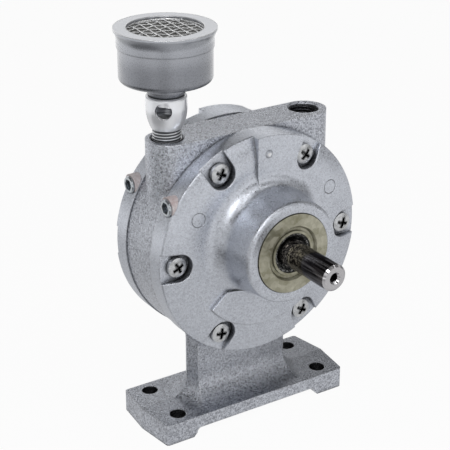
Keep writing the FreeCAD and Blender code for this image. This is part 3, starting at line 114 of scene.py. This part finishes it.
def new_group(name, inputs, outputs):
    """An empty node group; inputs are (name, starting value), outputs are names of numbers, or of a normal."""
    tree = bpy.data.node_groups.new(name, "ShaderNodeTree")
    for word, value in inputs:
        tree.interface.new_socket(word, in_out="INPUT", socket_type="NodeSocketFloat").default_value = value
    for word in outputs:
        kind = "NodeSocketVector" if word == "Normal" else "NodeSocketFloat"
        tree.interface.new_socket(word, in_out="OUTPUT", socket_type=kind)
    return tree, tree.nodes.new("NodeGroupInput").outputs, tree.nodes.new("NodeGroupOutput").inputs


def place_group(tree, group, **values):
    """The outputs of a node group placed in a material with its own values."""
    made = add(tree, "ShaderNodeGroup", node_tree=group)
    for word, value in values.items():
        made.inputs[word.capitalize()].default_value = value
    return made.outputs


def new_finish(name, colour, metallic, roughness):
    """A material with its tree and shader, its plain values on the shader's own sockets."""
    made = bpy.data.materials.new(name)
    made.use_nodes = True
    shader = made.node_tree.nodes["Principled BSDF"]
    shader.inputs["Base Color"].default_value = (*colour, 1)
    shader.inputs["Metallic"].default_value = metallic
    shader.inputs["Roughness"].default_value = roughness
    return made, made.node_tree, shader


def tint(tree, shader, mask, low, high):
    """Base colour that goes from one colour to another with a mask."""
    made = add(tree, "ShaderNodeMix", {"Factor": mask, "A": low, "B": high}, data_type="RGBA")
    tree.links.new(made.outputs["Result"], shader.inputs["Base Color"])


def two_tones(tree, shader, mask, low, high):
    """Base colour that goes from a low tone to a high tone with a mask."""
    tint(tree, shader, mask, (*low, 1), (*high, 1))


def overlay(tree, shader, mask, colour, strength=1.0):
    """Lays a colour over the base colour where a mask is 1, at this strength."""
    under = shader.inputs["Base Color"].links[0].from_socket
    if strength != 1.0:
        mask = times(tree, mask, strength)
    tint(tree, shader, mask, under, (*colour, 1))


def roughen(tree, shader, mask, low, high):
    """Roughness that goes from low to high with a mask."""
    tree.links.new(ramp(tree, mask, 0.0, 1.0, low, high), shader.inputs["Roughness"])


def bumps(tree, shader, height, depth, smooth=None):
    """A bump of this depth in metres from a height of 0 to 1, on a normal that is already smoothed if given."""
    made = add(tree, "ShaderNodeBump", {"Height": height, "Distance": depth, "Strength": 1.0})
    if smooth is not None:
        tree.links.new(smooth, made.inputs["Normal"])
    tree.links.new(made.outputs["Normal"], shader.inputs["Normal"])


def dress(name, finish):
    """Gives a node of the frame its finish."""
    for slot in nodes[name].material_slots:
        slot.material = finish


grain_group, grain_in, grain_out = new_group(
    "cast grain", [("Grain", 900.0), ("Pits", 500.0)], ["Height", "Tone", "Blotch"])
place = object_place(grain_group)
fine = add(grain_group, "ShaderNodeTexNoise", {
    "Vector": place, "Scale": grain_in["Grain"], "Detail": 5.0, "Roughness": 0.65}).outputs["Fac"]
pits = add(grain_group, "ShaderNodeTexVoronoi", {"Vector": place, "Scale": grain_in["Pits"]}).outputs["Distance"]
flakes = add(grain_group, "ShaderNodeTexVoronoi", {"Vector": place, "Scale": grain_in["Grain"]}).outputs["Color"]
flake = add(grain_group, "ShaderNodeSeparateColor", {"Color": flakes}).outputs["Red"]
slow = add(grain_group, "ShaderNodeTexNoise", {
    "Vector": place, "Scale": 55.0, "Detail": 4.0, "Roughness": 0.6}).outputs["Fac"]
pit_depth = ramp(grain_group, pits, 0.0, 0.32)
grain_group.links.new(weighted(grain_group, fine, 0.65, pit_depth), grain_out["Height"])
grain_group.links.new(ramp(grain_group, weighted(grain_group, fine, 0.7, flake), 0.35, 0.65), grain_out["Tone"])
grain_group.links.new(ramp(grain_group, slow, 0.3, 0.7), grain_out["Blotch"])

# Painted shade in crevices: an ambient occlusion mask, 1 in the open, falling to 0 where other walls are close.
crevice_shade_group, crevice_shade_in, crevice_shade_out = new_group("crevice shade", [("Reach", 0.003), ("Start", 0.35)], ["Clean"])
hollow = add(crevice_shade_group, "ShaderNodeAmbientOcclusion", {"Distance": crevice_shade_in["Reach"]}, samples=6).outputs["AO"]
crevice_shade_group.links.new(ramp(crevice_shade_group, hollow, crevice_shade_in["Start"], 0.74), crevice_shade_out["Clean"])


def shade_crevices(tree, shader, reach, start, dark):
    """Paints shade: darkens the base colour towards a shade colour where other walls are close."""
    unshaded = place_group(tree, crevice_shade_group, reach=reach, start=start)["Clean"]
    overlay(tree, shader, maths(tree, "SUBTRACT", 1.0, unshaded), dark)


# Rounded normals for soft edges, and a mask of the edges that carries painted highlights on the castings and the
# lid, and painted shade in the screw crosses.
edge_group, edge_in, edge_out = new_group("soft edge", [("Radius", 0.001)], ["Edge", "Normal"])
rounded = add(edge_group, "ShaderNodeBevel", {"Radius": edge_in["Radius"]}, samples=6).outputs["Normal"]
sharp = edge_group.nodes.new("ShaderNodeNewGeometry").outputs["Normal"]
alike = add(edge_group, "ShaderNodeVectorMath", {0: rounded, 1: sharp}, operation="DOT_PRODUCT").outputs["Value"]
edge_group.links.new(ramp(edge_group, alike, 0.99, 0.85), edge_out["Edge"])
edge_group.links.new(rounded, edge_out["Normal"])

body_cast, tree, shader = new_finish("body_cast", (0.42, 0.43, 0.46), metallic=0.93, roughness=0.5)
grain = place_group(tree, grain_group, grain=1500.0, pits=900.0)
edge = place_group(tree, edge_group, radius=0.0009)
two_tones(tree, shader, weighted(tree, grain["Tone"], 0.88, grain["Blotch"]), (0.29, 0.3, 0.335),
          (0.79, 0.82, 0.89))
# Painted highlight along the edges.
overlay(tree, shader, edge["Edge"], (0.9, 0.92, 0.96), 0.7)
# Painted shade in the crevices.
shade_crevices(tree, shader, reach=0.003, start=0.3, dark=(0.05, 0.052, 0.06))
place = object_place(tree)
level = along(tree, place, "Z")
# Painted shade on the neck and the top of the foot, strongest at the right.
foot_side_top, neck_shade_full, neck_shade_end = 0.0105, 0.045, 0.06
painted_neck_shade = times(tree, ramp(tree, along(tree, place, "X"), -0.01, 0.035, 0.14, 0.55, smooth=True),
               ramp(tree, level, neck_shade_full, neck_shade_end, 1.0, 0.0, smooth=True),
               maths(tree, "GREATER_THAN", level, foot_side_top))
overlay(tree, shader, painted_neck_shade, (0.2, 0.21, 0.235))
# Painted shade inside the foot holes, near black.
foot_hole, hole_reach, above_foot = (0.0421, 0.0134, 0.0), 0.00397, 0.0125
mirrored = add(tree, "ShaderNodeVectorMath", {0: place}, operation="ABSOLUTE").outputs[0]
painted_hole_shade = times(tree, inside(tree, from_line(tree, mirrored, "Z", foot_hole), hole_reach),
                maths(tree, "LESS_THAN", level, above_foot))
overlay(tree, shader, painted_hole_shade, (0.008, 0.008, 0.009), 0.93)
# Painted shade inside the open port, near black.
port_axis, port_reach, port_low = (0.0384, -0.0016, 0.0), 0.0073, 0.12
painted_port_shade = times(tree, inside(tree, from_line(tree, place, "Z", port_axis), port_reach),
                maths(tree, "GREATER_THAN", level, port_low))
overlay(tree, shader, painted_port_shade, (0.02, 0.02, 0.022), 0.92)
roughen(tree, shader, grain["Tone"], 0.22, 0.44)
bumps(tree, shader, grain["Height"], 0.00036, edge["Normal"])
dress("motor_body", body_cast)

# The two domed end caps are die castings in the same alloy, smoother than the body, with a fine even grain.
# Ejector pins left two faint rings on each, and a dimple marks the panel. The dimple has a painted shade ring and
# a painted highlight dot, the edges have a painted highlight, and a painted shade line runs round the shaft seal.

cap_cast, tree, shader = new_finish("cap_cast", (0.5, 0.51, 0.53), metallic=0.93, roughness=0.4)
grain = place_group(tree, grain_group, grain=1500.0, pits=1300.0)
edge = place_group(tree, edge_group, radius=0.0008)
two_tones(tree, shader, weighted(tree, grain["Tone"], 0.85, grain["Blotch"]), (0.5, 0.52, 0.57),
          (0.72, 0.75, 0.815))
# Painted highlight along the edges.
overlay(tree, shader, edge["Edge"], (0.85, 0.87, 0.92), 0.5)
place = object_place(tree)


def ring_line(tree, apart, radius, width):
    """A mask of 1 on a circle that falls to 0 at half its line's width."""
    off = maths(tree, "ABSOLUTE", maths(tree, "SUBTRACT", apart, radius))
    return maths(tree, "SUBTRACT", 1.0, maths(tree, "DIVIDE", off, width / 2), clamp=True)


left_pin, right_pin, pin_radius, pin_line = (-0.0366, 0.0, 0.117), (0.0376, 0.0, 0.1169), 0.0034, 0.0005
pins = maths(tree, "MAXIMUM", ring_line(tree, from_line(tree, place, "Y", left_pin), pin_radius, pin_line),
             ring_line(tree, from_line(tree, place, "Y", right_pin), pin_radius, pin_line))
overlay(tree, shader, pins, (0.07, 0.07, 0.08), 0.85)
# The dimple's dark ring is painted shade, and the bright dot beside it is a painted highlight.
dimple_centre, dimple_radius, dimple_rim, rim_width = (0.0006, 0.0, 0.1419), 0.0022, 0.0018, 0.001
glint_centre, glint_radius = (0.0009, 0.0, 0.1416), 0.0009
to_dimple = from_line(tree, place, "Y", dimple_centre)
dimple = maths(tree, "SUBTRACT", 1.0, maths(tree, "DIVIDE", to_dimple, dimple_radius), clamp=True)
overlay(tree, shader, ring_line(tree, to_dimple, dimple_rim, rim_width), (0.12, 0.12, 0.13), 0.55)
overlay(tree, shader, inside(tree, from_line(tree, place, "Y", glint_centre), glint_radius),
        (0.97, 0.97, 0.98), 0.8)
# Painted shade in the crevices.
shade_crevices(tree, shader, reach=0.0036, start=0.38, dark=(0.012, 0.012, 0.014))
# Painted shade: a black line on the cap round the shaft seal, where the gap is.
shaft_axis, near_hub_face, seal_edge, gap_width = (0.0, 0.0, 0.1002), -0.0462, 0.0194, 0.0009
seal_gap = times(tree, maths(tree, "LESS_THAN", along(tree, place, "Y"), near_hub_face),
                 ring_line(tree, from_line(tree, place, "Y", shaft_axis), seal_edge, gap_width))
overlay(tree, shader, seal_gap, (0.01, 0.01, 0.01))
roughen(tree, shader, grain["Tone"], 0.27, 0.42)
grain_share, pin_share, dimple_share = 0.26, 0.5, 1.6
relief = maths(tree, "SUBTRACT", times(tree, grain["Height"], grain_share),
               maths(tree, "ADD", times(tree, pins, pin_share), times(tree, dimple, dimple_share)))
bumps(tree, shader, relief, 0.0004, edge["Normal"])
dress("front_cap", cap_cast)
dress("rear_cap", cap_cast)

# Six crosshead machine screws hold each cap. They are zinc plated steel with turned heads, and their crosses are
# painted dark as shade. The pressed disc that closes the rear hub has the same plating.

screw_zinc, tree, shader = new_finish("screw_zinc", (0.6, 0.61, 0.62), metallic=0.9, roughness=0.3)
grain = place_group(tree, grain_group, grain=700.0, pits=900.0)
two_tones(tree, shader, grain["Tone"], (0.5, 0.51, 0.52), (0.72, 0.73, 0.75))
roughen(tree, shader, grain["Tone"], 0.24, 0.42)
# Painted shade in the crevices, near black.
shade_crevices(tree, shader, reach=0.0024, start=0.62, dark=(0.003, 0.003, 0.003))
edge = place_group(tree, edge_group, radius=0.0015)
place = object_place(tree)
# Painted shade in each cross: the edges within a screw's head are painted near black.
screw_numbers, cross_reach = range(1, 7), 0.003
nearest = None
for number in screw_numbers:
    low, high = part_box("front_screw_%d" % number)
    centre = ((low[0] + high[0]) / 2, 0.0, (low[2] + high[2]) / 2)
    apart = from_line(tree, place, "Y", centre)
    nearest = apart if nearest is None else maths(tree, "MINIMUM", nearest, apart)
overlay(tree, shader, times(tree, edge["Edge"], inside(tree, nearest, cross_reach)), (0.004, 0.004, 0.004))
bumps(tree, shader, grain["Height"], 0.00003)
for side in ("front", "rear"):
    for number in screw_numbers:
        dress("%s_screw_%d" % (side, number), screw_zinc)
dress("rear_bearing_cover", screw_zinc)

# The hex socket plugs close the side drillings. They are bright zinc, set in pink thread sealant that has
# squeezed out round them and dried.

plug_zinc, tree, shader = new_finish("plug_zinc", (0.62, 0.66, 0.7), metallic=0.95, roughness=0.25)
grain = place_group(tree, grain_group, grain=900.0, pits=900.0)
two_tones(tree, shader, grain["Blotch"], (0.5, 0.54, 0.58), (0.7, 0.73, 0.76))
# Painted shade in the crevices.
shade_crevices(tree, shader, reach=0.002, start=0.4, dark=(0.01, 0.01, 0.01))
bumps(tree, shader, grain["Height"], 0.00002)
sealant, tree, shader = new_finish("sealant", (0.5, 0.2, 0.17), metallic=0.0, roughness=0.6)
grain = place_group(tree, grain_group, grain=800.0, pits=700.0)
two_tones(tree, shader, weighted(tree, grain["Tone"], 0.4, grain["Blotch"]), (0.5, 0.39, 0.385),
          (0.84, 0.81, 0.82))
bumps(tree, shader, grain["Height"], 0.0003)
for side in ("front", "rear"):
    dress("%s_plug" % side, plug_zinc)
    dress("%s_plug_sealant" % side, sealant)

# The shaft seal is a pressed steel case with yellow plating that has gone olive and mottled, round a moulded
# rubber lip that holds grey dust, with a coil spring behind the lip.

seal_metal, tree, shader = new_finish("seal_metal", (0.3, 0.29, 0.2), metallic=0.7, roughness=0.42)
grain = place_group(tree, grain_group, grain=420.0, pits=500.0)
two_tones(tree, shader, weighted(tree, grain["Tone"], 0.4, grain["Blotch"]), (0.2, 0.19, 0.11),
          (0.66, 0.64, 0.53))
# Painted shade in the crevices.
shade_crevices(tree, shader, reach=0.002, start=0.4, dark=(0.02, 0.02, 0.012))
roughen(tree, shader, grain["Tone"], 0.32, 0.55)
bumps(tree, shader, grain["Height"], 0.00004)
dress("seal_case", seal_metal)
seal_rubber, tree, shader = new_finish("seal_rubber", (0.02, 0.02, 0.02), metallic=0.0, roughness=0.6)
grain = place_group(tree, grain_group, grain=1600.0, pits=1200.0)
dust_start, dust_gain = 0.72, 3.5
dust = times(tree, maths(tree, "SUBTRACT", grain["Tone"], dust_start, clamp=True), dust_gain)
two_tones(tree, shader, dust, (0.008, 0.008, 0.008), (0.4, 0.4, 0.39))
bumps(tree, shader, grain["Height"], 0.0002)
dress("seal_lip", seal_rubber)

# Two deep groove ball bearings carry the shaft, with ground steel rings and balls and pressed cages. A spring
# washer under the rear cover loads them. The dowels and the seal's spring are of the same steel.

bearing_steel, tree, shader = new_finish("bearing_steel", (0.62, 0.63, 0.64), metallic=1.0, roughness=0.2)
grain = place_group(tree, grain_group, grain=1800.0, pits=900.0)
roughen(tree, shader, grain["Tone"], 0.16, 0.26)
cage_steel, tree, shader = new_finish("cage_steel", (0.5, 0.5, 0.5), metallic=0.95, roughness=0.35)
grain = place_group(tree, grain_group, grain=1200.0, pits=900.0)
roughen(tree, shader, grain["Tone"], 0.3, 0.42)
for side in ("front", "rear"):
    for piece in ("bearing_outer_ring", "bearing_inner_ring", "bearing_balls", "dowel_1", "dowel_2"):
        dress("%s_%s" % (side, piece), bearing_steel)
    dress("%s_bearing_cage" % side, cage_steel)
dress("wave_spring", bearing_steel)
dress("seal_spring", bearing_steel)

# The rotor is a ground iron cylinder pressed on the shaft, with four slots for vanes of a dark fibre composite
# that slide out as it turns.

rotor_steel, tree, shader = new_finish("rotor_steel", (0.25, 0.25, 0.26), metallic=0.9, roughness=0.35)
grain = place_group(tree, grain_group, grain=900.0, pits=900.0)
two_tones(tree, shader, grain["Tone"], (0.2, 0.2, 0.21), (0.3, 0.3, 0.31))
dress("rotor", rotor_steel)
vane_composite, tree, shader = new_finish("vane_composite", (0.1, 0.07, 0.05), metallic=0.0, roughness=0.55)
grain = place_group(tree, grain_group, grain=1200.0, pits=700.0)
two_tones(tree, shader, grain["Tone"], (0.07, 0.05, 0.035), (0.14, 0.1, 0.07))
for number in (1, 2, 3, 4):
    dress("vane_%d" % number, vane_composite)

# The shaft is ground and polished steel, dark and streaked from its film of oil, with dust near the seal. Its end
# is faced, with a chamfer and a centre hole.

shaft_steel, tree, shader = new_finish("shaft_steel", (0.3, 0.3, 0.31), metallic=0.8, roughness=0.24)
shader.inputs["Specular Tint"].default_value = (0.45, 0.45, 0.46, 1)
place = object_place(tree)
stretched = add(tree, "ShaderNodeMapping", {"Vector": place, "Scale": (420.0, 22.0, 420.0)}).outputs["Vector"]
film = add(tree, "ShaderNodeTexNoise", {"Vector": stretched, "Scale": 1.0, "Detail": 3.0}).outputs["Fac"]
streaks = ramp(tree, film, 0.46, 0.62)
roughen(tree, shader, streaks, 0.06, 0.2)
two_tones(tree, shader, streaks, (0.012, 0.01, 0.011), (0.2, 0.19, 0.19))
dust_from, dust_full, chamfer_start = -0.066, -0.05, -0.07858
out = along(tree, place, "Y")
specks = maths(tree, "GREATER_THAN", place_group(tree, grain_group, grain=1500.0, pits=1200.0)["Tone"], 0.62)
overlay(tree, shader, times(tree, ramp(tree, out, dust_from, dust_full, smooth=True), specks), (0.5, 0.47, 0.44))
end = maths(tree, "LESS_THAN", out, chamfer_start)
turning = times(tree, from_line(tree, place, "Y", shaft_axis), 4000.0)
turned = add(tree, "ShaderNodeTexNoise", {"W": turning, "Detail": 2.0}, noise_dimensions="1D").outputs["Fac"]
overlay(tree, shader, end, (0.38, 0.37, 0.38))
overlay(tree, shader, times(tree, end, turned), (0.85, 0.84, 0.86))
# Painted shade in the crevices.
shade_crevices(tree, shader, reach=0.003, start=0.3, dark=(0.01, 0.01, 0.01))
dress("shaft", shaft_steel)

# The exhaust muffler screws into the left port by a bright zinc stem with a cross window, through which the sheet
# tube inside can be seen. It has a cut thread of eighteen turns to the inch, and so has the open port.

stem_zinc, tree, shader = new_finish("stem_zinc", (0.8, 0.82, 0.86), metallic=0.55, roughness=0.2)
grain = place_group(tree, grain_group, grain=500.0, pits=900.0)
roughen(tree, shader, grain["Blotch"], 0.13, 0.26)
two_tones(tree, shader, grain["Blotch"], (0.86, 0.88, 0.92), (0.95, 0.96, 0.99))
# Painted shade in the crevices.
shade_crevices(tree, shader, reach=0.0015, start=0.3, dark=(0.02, 0.02, 0.02))
place = object_place(tree)
# Painted shade in the thread's roots: below its top, the surface within half the thread's height is near black.
muffler_axis, groove_radius, thread_top = (-0.0384, -0.0016, 0.0), 0.00655, 0.1558
painted_groove_shade = times(tree, maths(tree, "LESS_THAN", from_line(tree, place, "Z", muffler_axis), groove_radius),
               maths(tree, "LESS_THAN", along(tree, place, "Z"), thread_top))
overlay(tree, shader, painted_groove_shade, (0.02, 0.025, 0.03), 0.85)
dress("muffler_stem", stem_zinc)
dress("muffler_tube", stem_zinc)


def new_piece(name, points, faces, finish, body, smooth=True):
    """A mesh object that rides on a body, with one finish."""
    mesh = bpy.data.meshes.new(name)
    mesh.from_pydata(points.reshape(-1, 3).tolist(), [], faces)
    if smooth:
        mesh.shade_smooth()
    else:
        mesh.shade_flat()
    mesh.materials.append(finish)
    made = bpy.data.objects.new(name, mesh)
    bpy.context.collection.objects.link(made)
    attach(made, body)
    return made


def tube_faces(rows, columns):
    """Faces of a tube of points, row by row, in which each row's last point is joined to its first."""
    row, column = np.meshgrid(np.arange(rows - 1), np.arange(columns), indexing="ij")
    a, b = row * columns + column, row * columns + (column + 1) % columns
    return np.stack([a, a + columns, b + columns, b], axis=-1).reshape(-1, 4)


def thread(name, centre, foot, crest, pitch, low, high, finish):
    """A screw thread: a closed section of four corners carried along a helix, fading to nothing in half a turn
    at each end. The crest may be outside its foot, for a male thread, or inside it, for a female one."""
    per_turn, sunk, section = 64, 0.00004, np.array([-0.44, -0.09, 0.09, 0.44])
    turns = (high - low) / pitch
    angle = np.linspace(0, 2 * np.pi * turns, int(turns * per_turn))[:, None]
    height = np.minimum(1, np.minimum(angle, angle[-1] - angle) / np.pi)
    out = np.array([0, 1, 1, 0]) * height * (crest - foot) + foot - np.sign(crest - foot) * sunk
    up = section * pitch + low + angle / (2 * np.pi) * pitch
    points = np.stack([centre[0] + out * np.cos(angle), centre[1] + out * np.sin(angle), up], axis=-1)
    last = points.shape[0] * 4 - 1
    faces = tube_faces(len(angle), 4).tolist() + [[0, 1, 2, 3], [last, last - 1, last - 2, last - 3]]
    if crest < foot:
        faces = [face[::-1] for face in faces]
    new_piece(name, points, faces, finish, "housing", smooth=False)


thread_pitch = 0.00141
thread("stem_thread", muffler_axis, foot=0.0062, crest=0.0068, pitch=thread_pitch, low=0.15, high=0.1556,
       finish=stem_zinc)
thread("port_thread", port_axis, foot=0.00686, crest=0.0062, pitch=thread_pitch, low=0.1365, high=0.1485,
       finish=body_cast)

# The cup and its lid are drawn sheet, satin silver under a thin lacquer, with soft rolled edges. The lid carries
# painted light: it is painted lighter than the cup, and its rim has a painted highlight. They hold a disc of grey
# felt.

muffler_satin, tree, shader = new_finish("muffler_satin", (0.55, 0.56, 0.57), metallic=0.85, roughness=0.32)
shader.inputs["Coat Weight"].default_value = 1.0
shader.inputs["Coat Roughness"].default_value = 0.3
edge = place_group(tree, edge_group, radius=0.0009)
grain = place_group(tree, grain_group, grain=2200.0, pits=1800.0)
two_tones(tree, shader, weighted(tree, grain["Tone"], 0.5, grain["Blotch"]), (0.17, 0.18, 0.205),
          (0.28, 0.29, 0.32))
# Painted light: the lid's skirt and flare are painted lighter than the cup, and the skirt less metallic.
cup_plain, lid_low, flare_low, flare_full = 0.186, 0.1935, 0.194, 0.2
level = along(tree, object_place(tree), "Z")
skirt = ramp(tree, level, cup_plain, lid_low, smooth=True)
lip = ramp(tree, level, flare_low, flare_full, smooth=True)
overlay(tree, shader, skirt, (0.55, 0.57, 0.62), 0.4)
tree.links.new(ramp(tree, skirt, 0.0, 1.0, 0.85, 0.68), shader.inputs["Metallic"])
overlay(tree, shader, lip, (0.4, 0.42, 0.46), 0.5)
# Painted highlight on the lid's rim.
overlay(tree, shader, times(tree, edge["Edge"], lip), (0.98, 0.98, 0.99), 0.9)
# Painted shade in the crevices.
shade_crevices(tree, shader, reach=0.002, start=0.3, dark=(0.03, 0.03, 0.03))
tree.links.new(times(tree, ramp(tree, grain["Tone"], 0.0, 1.0, 0.26, 0.34), ramp(tree, lip, 0.0, 1.0, 1.0, 0.8)),
               shader.inputs["Roughness"])
bumps(tree, shader, grain["Height"], 0.000012, edge["Normal"])
dress("muffler_cup", muffler_satin)
dress("muffler_lid", muffler_satin)
felt, tree, shader = new_finish("felt", (0.2, 0.2, 0.19), metallic=0.0, roughness=0.9)
grain = place_group(tree, grain_group, grain=1400.0, pits=900.0)
two_tones(tree, shader, grain["Tone"], (0.13, 0.13, 0.125), (0.33, 0.33, 0.32))
bumps(tree, shader, grain["Height"], 0.0004)
dress("muffler_felt", felt)

# The lid's opening is closed by a screen of bright woven wire, rolled a little flat. The ends of its wires are
# held in a thin ring that lies inside the lid, under its turned edge.

screen_wire, tree, shader = new_finish("screen_wire", (0.75, 0.76, 0.77), metallic=0.75, roughness=0.22)
grain = place_group(tree, grain_group, grain=900.0, pits=900.0)
two_tones(tree, shader, grain["Tone"], (0.92, 0.93, 0.94), (0.98, 0.98, 0.99))
# Painted shade in the crevices.
shade_crevices(tree, shader, reach=0.0008, start=0.1, dark=(0.05, 0.05, 0.05))
roughen(tree, shader, grain["Tone"], 0.24, 0.34)


def woven_screen(centre, turn, count, pitch, wire, reach):
    """A woven screen in a ring. Each wire is a tube of eight sides, half as thick as wide, along a chord of a
    circle of radius reach. Its height is an end level and a rise, less a cosine along its length that has half a
    wave between two crossing wires, so that it goes over and under in turn. The rise and the cosine fade out near
    the circle. The two ways are square to each other, and turned about the centre. The ring is a section of four
    corners carried round a circle."""
    sides, steps, squash = 8, 121, 0.5
    fade_radius, fade_width, end_level, rise, waves = 0.0166, 0.003, 0.20036, 0.00024, (0.0001, 0.0003)
    around = np.linspace(0, 2 * np.pi, sides + 1)[:-1]
    points, faces, used = [], [], 0
    for way, wave in enumerate(waves):
        for number in range(count):
            offset = (number - (count - 1) / 2) * pitch
            length = np.sqrt(reach ** 2 - offset ** 2) * np.linspace(-1, 1, steps)
            fade = np.clip((fade_radius - np.hypot(length, offset)) / fade_width, 0, 1)
            phase = length / pitch + number + way + (count - 1) / 2
            height = end_level + rise * fade - wave * fade * np.cos(np.pi * phase)
            top = height[:, None] + wire * squash * np.sin(around)
            run = np.broadcast_to(length[:, None], top.shape)
            across = np.broadcast_to(offset + wire * np.cos(around), top.shape)
            x, y = (run, across) if way == 0 else (-across, run)
            east = centre[0] + x * np.cos(turn) - y * np.sin(turn)
            north = centre[1] + x * np.sin(turn) + y * np.cos(turn)
            points.append(np.stack([east, north, top], axis=-1).reshape(-1, 3))
            faces += (tube_faces(steps, sides)[:, ::-1] + used).tolist()
            first_end, used = np.arange(sides) + used, used + steps * sides
            faces += [first_end.tolist(), (used - 1 - np.arange(sides)).tolist()]
    ring_steps, ring_low, ring_high, ring_in, ring_out = 128, 0.19994, 0.20074, 0.0173, 0.0211
    section = np.array([(ring_in, ring_low), (ring_out, ring_low), (ring_out, ring_high), (ring_in, ring_high)])
    angle = np.linspace(0, 2 * np.pi, ring_steps + 1)[:-1, None]
    east, north = centre[0] + section[:, 0] * np.cos(angle), centre[1] + section[:, 0] * np.sin(angle)
    points.append(np.stack([east, north, np.broadcast_to(section[:, 1], east.shape)], axis=-1).reshape(-1, 3))
    faces += (tube_faces(ring_steps + 1, 4) % (ring_steps * 4) + used).tolist()
    return np.concatenate(points), faces


points, faces = woven_screen(muffler_axis, turn=np.radians(85.0), count=8, pitch=0.0044, wire=0.0004,
                             reach=0.0176)
woven = new_piece("muffler_woven_screen", points, faces, screen_wire, "housing")
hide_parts("muffler_screen")

# The stage is a white sweep. The camera sees it almost plain white, with a trace of the part's shadow. What the
# metal reflects of it is darker beside the part at the left and the left front, brighter farther out, and
# darker again far off at the right.

floor_reach = 4
floor = bpy.data.meshes.new("floor")
corners = [(x * floor_reach, y * floor_reach, 0) for x, y in ((-1, -1), (1, -1), (1, 1), (-1, 1))]
floor.from_pydata(corners, [], [(0, 1, 2, 3)])
floor_finish, tree, shader = new_finish("floor_white", (0.8, 0.8, 0.8), metallic=0.0, roughness=0.9)
seen = tree.nodes.new("ShaderNodeLightPath").outputs
place = object_place(tree)
dark_left, dark_front, origin = (-0.36, -0.03, 0.0), (-0.3, -0.39, 0.0), (0.0, 0.0, 0.0)
mirror = ramp(tree, distance(tree, place, dark_left), 0.13, 0.33, 0.08, 0.66, smooth=True)
dip = ramp(tree, distance(tree, place, dark_front), 0.07, 0.21, 0.3, 1.0, smooth=True)
far = ramp(tree, distance(tree, place, origin), 0.36, 0.5, 0.0, 0.45, smooth=True)
shade = ramp(tree, along(tree, place, "X"), 0.46, 0.9, 1.0, 0.4, smooth=True)
reflected = times(tree, seen["Is Glossy Ray"], shade, times(tree, dip, maths(tree, "ADD", mirror, far)))
strength = maths(tree, "ADD", seen["Is Camera Ray"], reflected)
white = add(tree, "ShaderNodeEmission", {"Color": (1, 1, 1, 1), "Strength": strength})
camera_share = 0.95
share = maths(tree, "ADD", times(tree, seen["Is Camera Ray"], camera_share), seen["Is Glossy Ray"])
blend = add(tree, "ShaderNodeMixShader", {0: share, 1: shader.outputs[0], 2: white.outputs[0]})
tree.links.new(blend.outputs[0], tree.nodes["Material Output"].inputs["Surface"])
floor.materials.append(floor_finish)
floor_object = bpy.data.objects.new("floor", floor)
bpy.context.collection.objects.link(floor_object)

# The sky is plain white to the camera. The part is lit by one that is weak at the horizon, bright in a band
# above it, dark overhead, and weaker towards the left and the far right.

world = bpy.data.worlds.new("studio")
bpy.context.scene.world = world
world.use_nodes = True
tree = world.node_tree
seen = tree.nodes.new("ShaderNodeLightPath").outputs
toward = tree.nodes.new("ShaderNodeTexCoord").outputs["Generated"]
rise, across = along(tree, toward, "Z"), along(tree, toward, "X")
horizon = ramp(tree, rise, 0.1, 0.32, 0.42, 1.5, smooth=True)
zenith = ramp(tree, rise, 0.4, 0.51, 1.0, 0.06, smooth=True)
left = ramp(tree, across, -0.4, 0.2, 0.6, 1.0, smooth=True)
right = ramp(tree, across, 0.55, 0.9, 1.0, 0.35, smooth=True)
glow = times(tree, left, right, times(tree, horizon, zenith))
straight = maths(tree, "MAXIMUM", seen["Is Camera Ray"], seen["Is Transmission Ray"])
strength = maths(tree, "ADD", straight, times(tree, maths(tree, "SUBTRACT", 1.0, straight), glow))
tree.nodes["Background"].inputs["Color"].default_value = (1, 1, 1, 1)
tree.links.new(strength, tree.nodes["Background"].inputs["Strength"])

# Three soft boxes light the part: a broad one at the left front, a long narrow one overhead and a small weak one
# at the right. The camera has the photograph's place and lens.


def soft_box(name, place, target, width, height, power):
    """An area light that faces a point."""
    data = bpy.data.lights.new(name, "AREA")
    data.shape = "RECTANGLE"
    data.size = width
    data.size_y = height
    data.energy = power
    made = bpy.data.objects.new(name, data)
    made.location = place
    made.rotation_euler = (Vector(target) - Vector(place)).to_track_quat("-Z", "Y").to_euler()
    bpy.context.collection.objects.link(made)


middle = (0, 0, 0.1)
soft_box("key", (-0.62, -0.8, 0.9), middle, width=0.8, height=0.27, power=4.0)
soft_box("top_right", (0.55, -0.48, 0.95), middle, width=0.25, height=0.25, power=0.4)
soft_box("overhead", (-0.25, -0.37, 1.2), middle, width=1.2, height=0.14, power=2.8)

camera = bpy.data.objects.new("camera", bpy.data.cameras.new("camera"))
camera.data.sensor_width = 36
camera.data.lens = 111.08
camera.data.clip_start = 0.05
camera.data.clip_end = 20
camera.location = (-0.34125, -0.51240, 0.36963)
back = Vector((-0.50068, -0.76483, 0.40554))
camera.rotation_mode = "QUATERNION"
camera.rotation_quaternion = (-back).to_track_quat("-Z", "Y")
bpy.context.collection.objects.link(camera)
bpy.context.scene.camera = camera
bpy.context.scene.view_settings.view_transform = "Standard"
